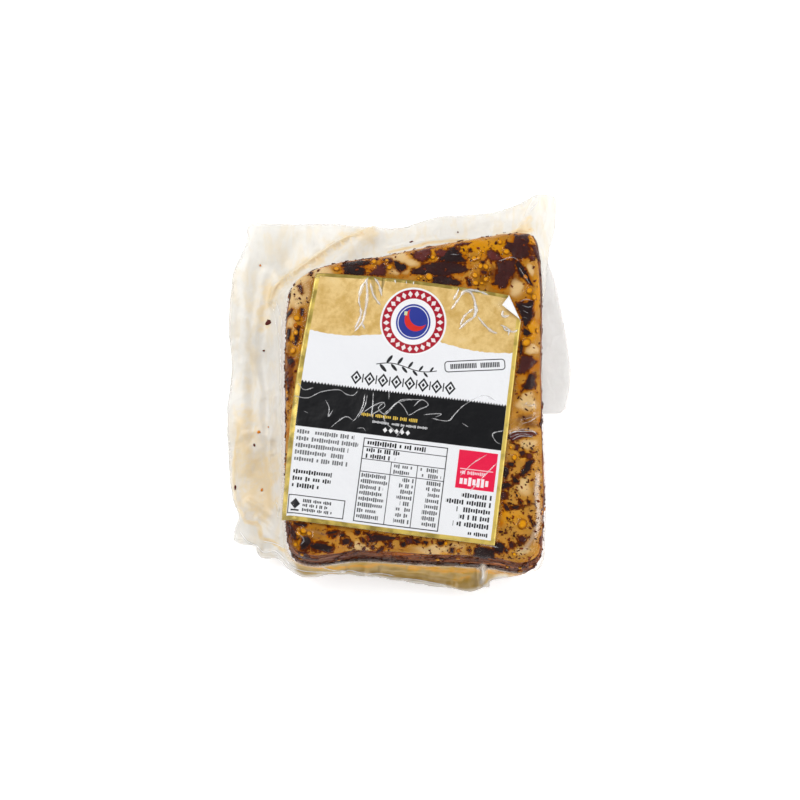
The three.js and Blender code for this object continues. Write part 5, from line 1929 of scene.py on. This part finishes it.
def dress_meat(form: PackForm, block: Piece, chilli: Sequence[Piece]) -> None:
    """Writes on the block how near the chilli lies, how thick the rub is and where its patches are.

    Args:
        form: The pack's form.
        block: The block of meat.
        chilli: The large flakes, the small flakes and the seeds.
    """
    places = corners_of(block.data) / MM
    for name, piece, reach in zip(("shade", "oil", "glow"), chilli, (1.15, 0.9, 1.7)):
        spots = corners_of(piece.data) / MM
        tree = KDTree(len(spots))
        for i, spot in enumerate(spots):
            tree.insert(spot, i)
        tree.balance()
        gap = np.array([tree.find(place)[2] for place in places])
        note(block.data, name, np.exp(-(gap / reach) ** 2))
    note(block.data, "rub", rub_of(form, places))
    x, y, _ = places.T
    right, near = ease(x, 40, 46) * ease(y, -8, -24), ease(y, -66, -71) * (0.25 + 0.75 * ease(x, -38, -20))
    pale = np.maximum(right, near)
    note(block.data, "pale", pale * ease(form.inset(x, y), 0.5, 4))
    upper = ease(places[:, 2], form.block_height - 9, form.block_height - 5)
    x = places[:, 0] + 1.6 * rumple(places, 6, 71, 2)
    y = places[:, 1] + 1.6 * rumple(places, 6, 72, 2)
    for name, patches in (("fat", FAT_PATCHES), ("gold", GOLD_PATCHES), ("brown", BROWN_PATCHES)):
        found = np.zeros(len(x))
        for px, py, half_width, half_depth in patches:
            far = np.hypot((x - px) / half_width, (y - py) / half_depth)
            found = np.maximum(found, 1 - ease(far, 0.3, 1.6))
        note(block.data, name, found * upper)


@dataclass
class Studio:
    """The pale floor, the soft lights and the camera."""

    camera_place: tuple[float, float, float] = (0.0, -192.74, 817.33)
    look_at: tuple[float, float, float] = (0.0, -12.35, 36.0)
    lens: float = 85.0
    floor_size: float = 6.0
    floor_glow: float = 0.46
    side_light: float = 0.5
    roof_light: float = 0.03
    lamps: tuple[tuple[str, tuple[float, float, float], float, float], ...] = (
        ("far_softbox", (-560, 520, 760), 760, 8.4), ("right_softbox", (760, -60, 600), 900, 5.4),
        ("near_softbox", (420, -760, 460), 900, 3.0))

    def build(self) -> None:
        """Sets the whole studio up."""
        self.floor()
        self.world()
        for lamp in self.lamps:
            self.lamp(*lamp)
        self.camera()
        bpy.context.scene.view_settings.view_transform = "Standard"

    def floor(self) -> None:
        """Makes the pale floor."""
        deselect()
        bpy.ops.mesh.primitive_plane_add(size=self.floor_size, location=(0, 0, 0))
        piece = bpy.context.object
        piece.name = "floor"
        g = Graph("floor_paper")
        tone = g.mix(g.noise(g.place(), 400, 2), seen(248, 248, 248), seen(252, 252, 252))
        piece.data.materials.append(g.surface(Base_Color=tone, Roughness=0.9, Emission_Color=(1, 1, 1, 1),
                                              Emission_Strength=self.floor_glow))

    def world(self) -> None:
        """Fills the room with pale light, bright at the sides and dim overhead, as in a light tent."""
        world = bpy.data.worlds.new("studio")
        bpy.context.scene.world = world
        world.use_nodes = True
        nodes, links = world.node_tree.nodes, world.node_tree.links
        way = nodes.new("ShaderNodeTexCoord")
        split = nodes.new("ShaderNodeSeparateXYZ")
        tent = nodes.new("ShaderNodeMapRange")
        tent.interpolation_type = "SMOOTHSTEP"
        for key, value in (("From Min", 0.5), ("From Max", 0.85), ("To Min", self.side_light),
                           ("To Max", self.roof_light)):
            tent.inputs[key].default_value = value
        links.new(way.outputs["Generated"], split.inputs[0])
        links.new(split.outputs[2], tent.inputs["Value"])
        links.new(tent.outputs[0], nodes["Background"].inputs["Strength"])
        nodes["Background"].inputs["Color"].default_value = (1, 1, 1, 1)

    def lamp(self, name: str, place: tuple[float, float, float], size: float, power: float) -> None:
        """Hangs one square softbox that faces the pack.

        Args:
            name: Its name.
            place: Its place in millimetres.
            size: Its side in millimetres.
            power: Its power in watts.
        """
        data = bpy.data.lights.new(name, "AREA")
        data.size = size * MM
        data.energy = power
        lamp = bpy.data.objects.new(name, data)
        bpy.context.collection.objects.link(lamp)
        self.aim(lamp, place)

    def aim(self, thing: Piece, place: tuple[float, float, float]) -> None:
        """Puts a lamp or the camera at a place in millimetres and turns it to the pack."""
        thing.location = Vector(place) * MM
        way = Vector(self.look_at) * MM - thing.location
        thing.rotation_euler = way.to_track_quat("-Z", "Y").to_euler()

    def camera(self) -> None:
        """Sets the camera where the photograph was taken from."""
        data = bpy.data.cameras.new("camera")
        data.lens = self.lens
        data.sensor_width = 36
        data.clip_start, data.clip_end = 0.05, 20
        camera = bpy.data.objects.new("camera", data)
        bpy.context.collection.objects.link(camera)
        self.aim(camera, self.camera_place)
        bpy.context.scene.camera = camera


def main() -> None:
    """Builds the pack piece by piece."""
    form = PackForm()
    label = Label(form)
    block = MeatBlock(form).build()
    crust = ChilliCrust(form, label, block)
    slabs, flakes, seeds, specks = crust.build()
    dress_meat(form, block, (slabs, flakes, seeds))
    sheet = label.build(LabelPrint(label.width, label.height).make(), paper_back())
    bag = FilmBag(form).build((block, slabs, flakes, seeds, sheet))
    creases = FilmCreases(label).build(bag)
    loose = crust.build_loose(bag)
    tail = BagTail().build()
    chilli = [finish.make() for finish in CHILLI_FINISHES]
    film = FilmFinish().make("clear_film")
    crease = CREASE_WHITENING_AND_HIGHLIGHT.make("creased_film_painted_highlight")
    tail_film = TAIL_FILM.make("tail_film")
    pieces = ((block, MeatFinish().make()), *zip((slabs, flakes, seeds, specks, loose), chilli),
              (bag, film), (creases, crease), (tail, tail_film))
    for piece, material in pieces:
        finish_piece(piece, [material], "sealed_pack")
    finish_piece(sheet, [], "label")
    Studio().build()


if __name__ == "__main__":
    logging.basicConfig(level=logging.INFO, format="%(message)s")
    main()
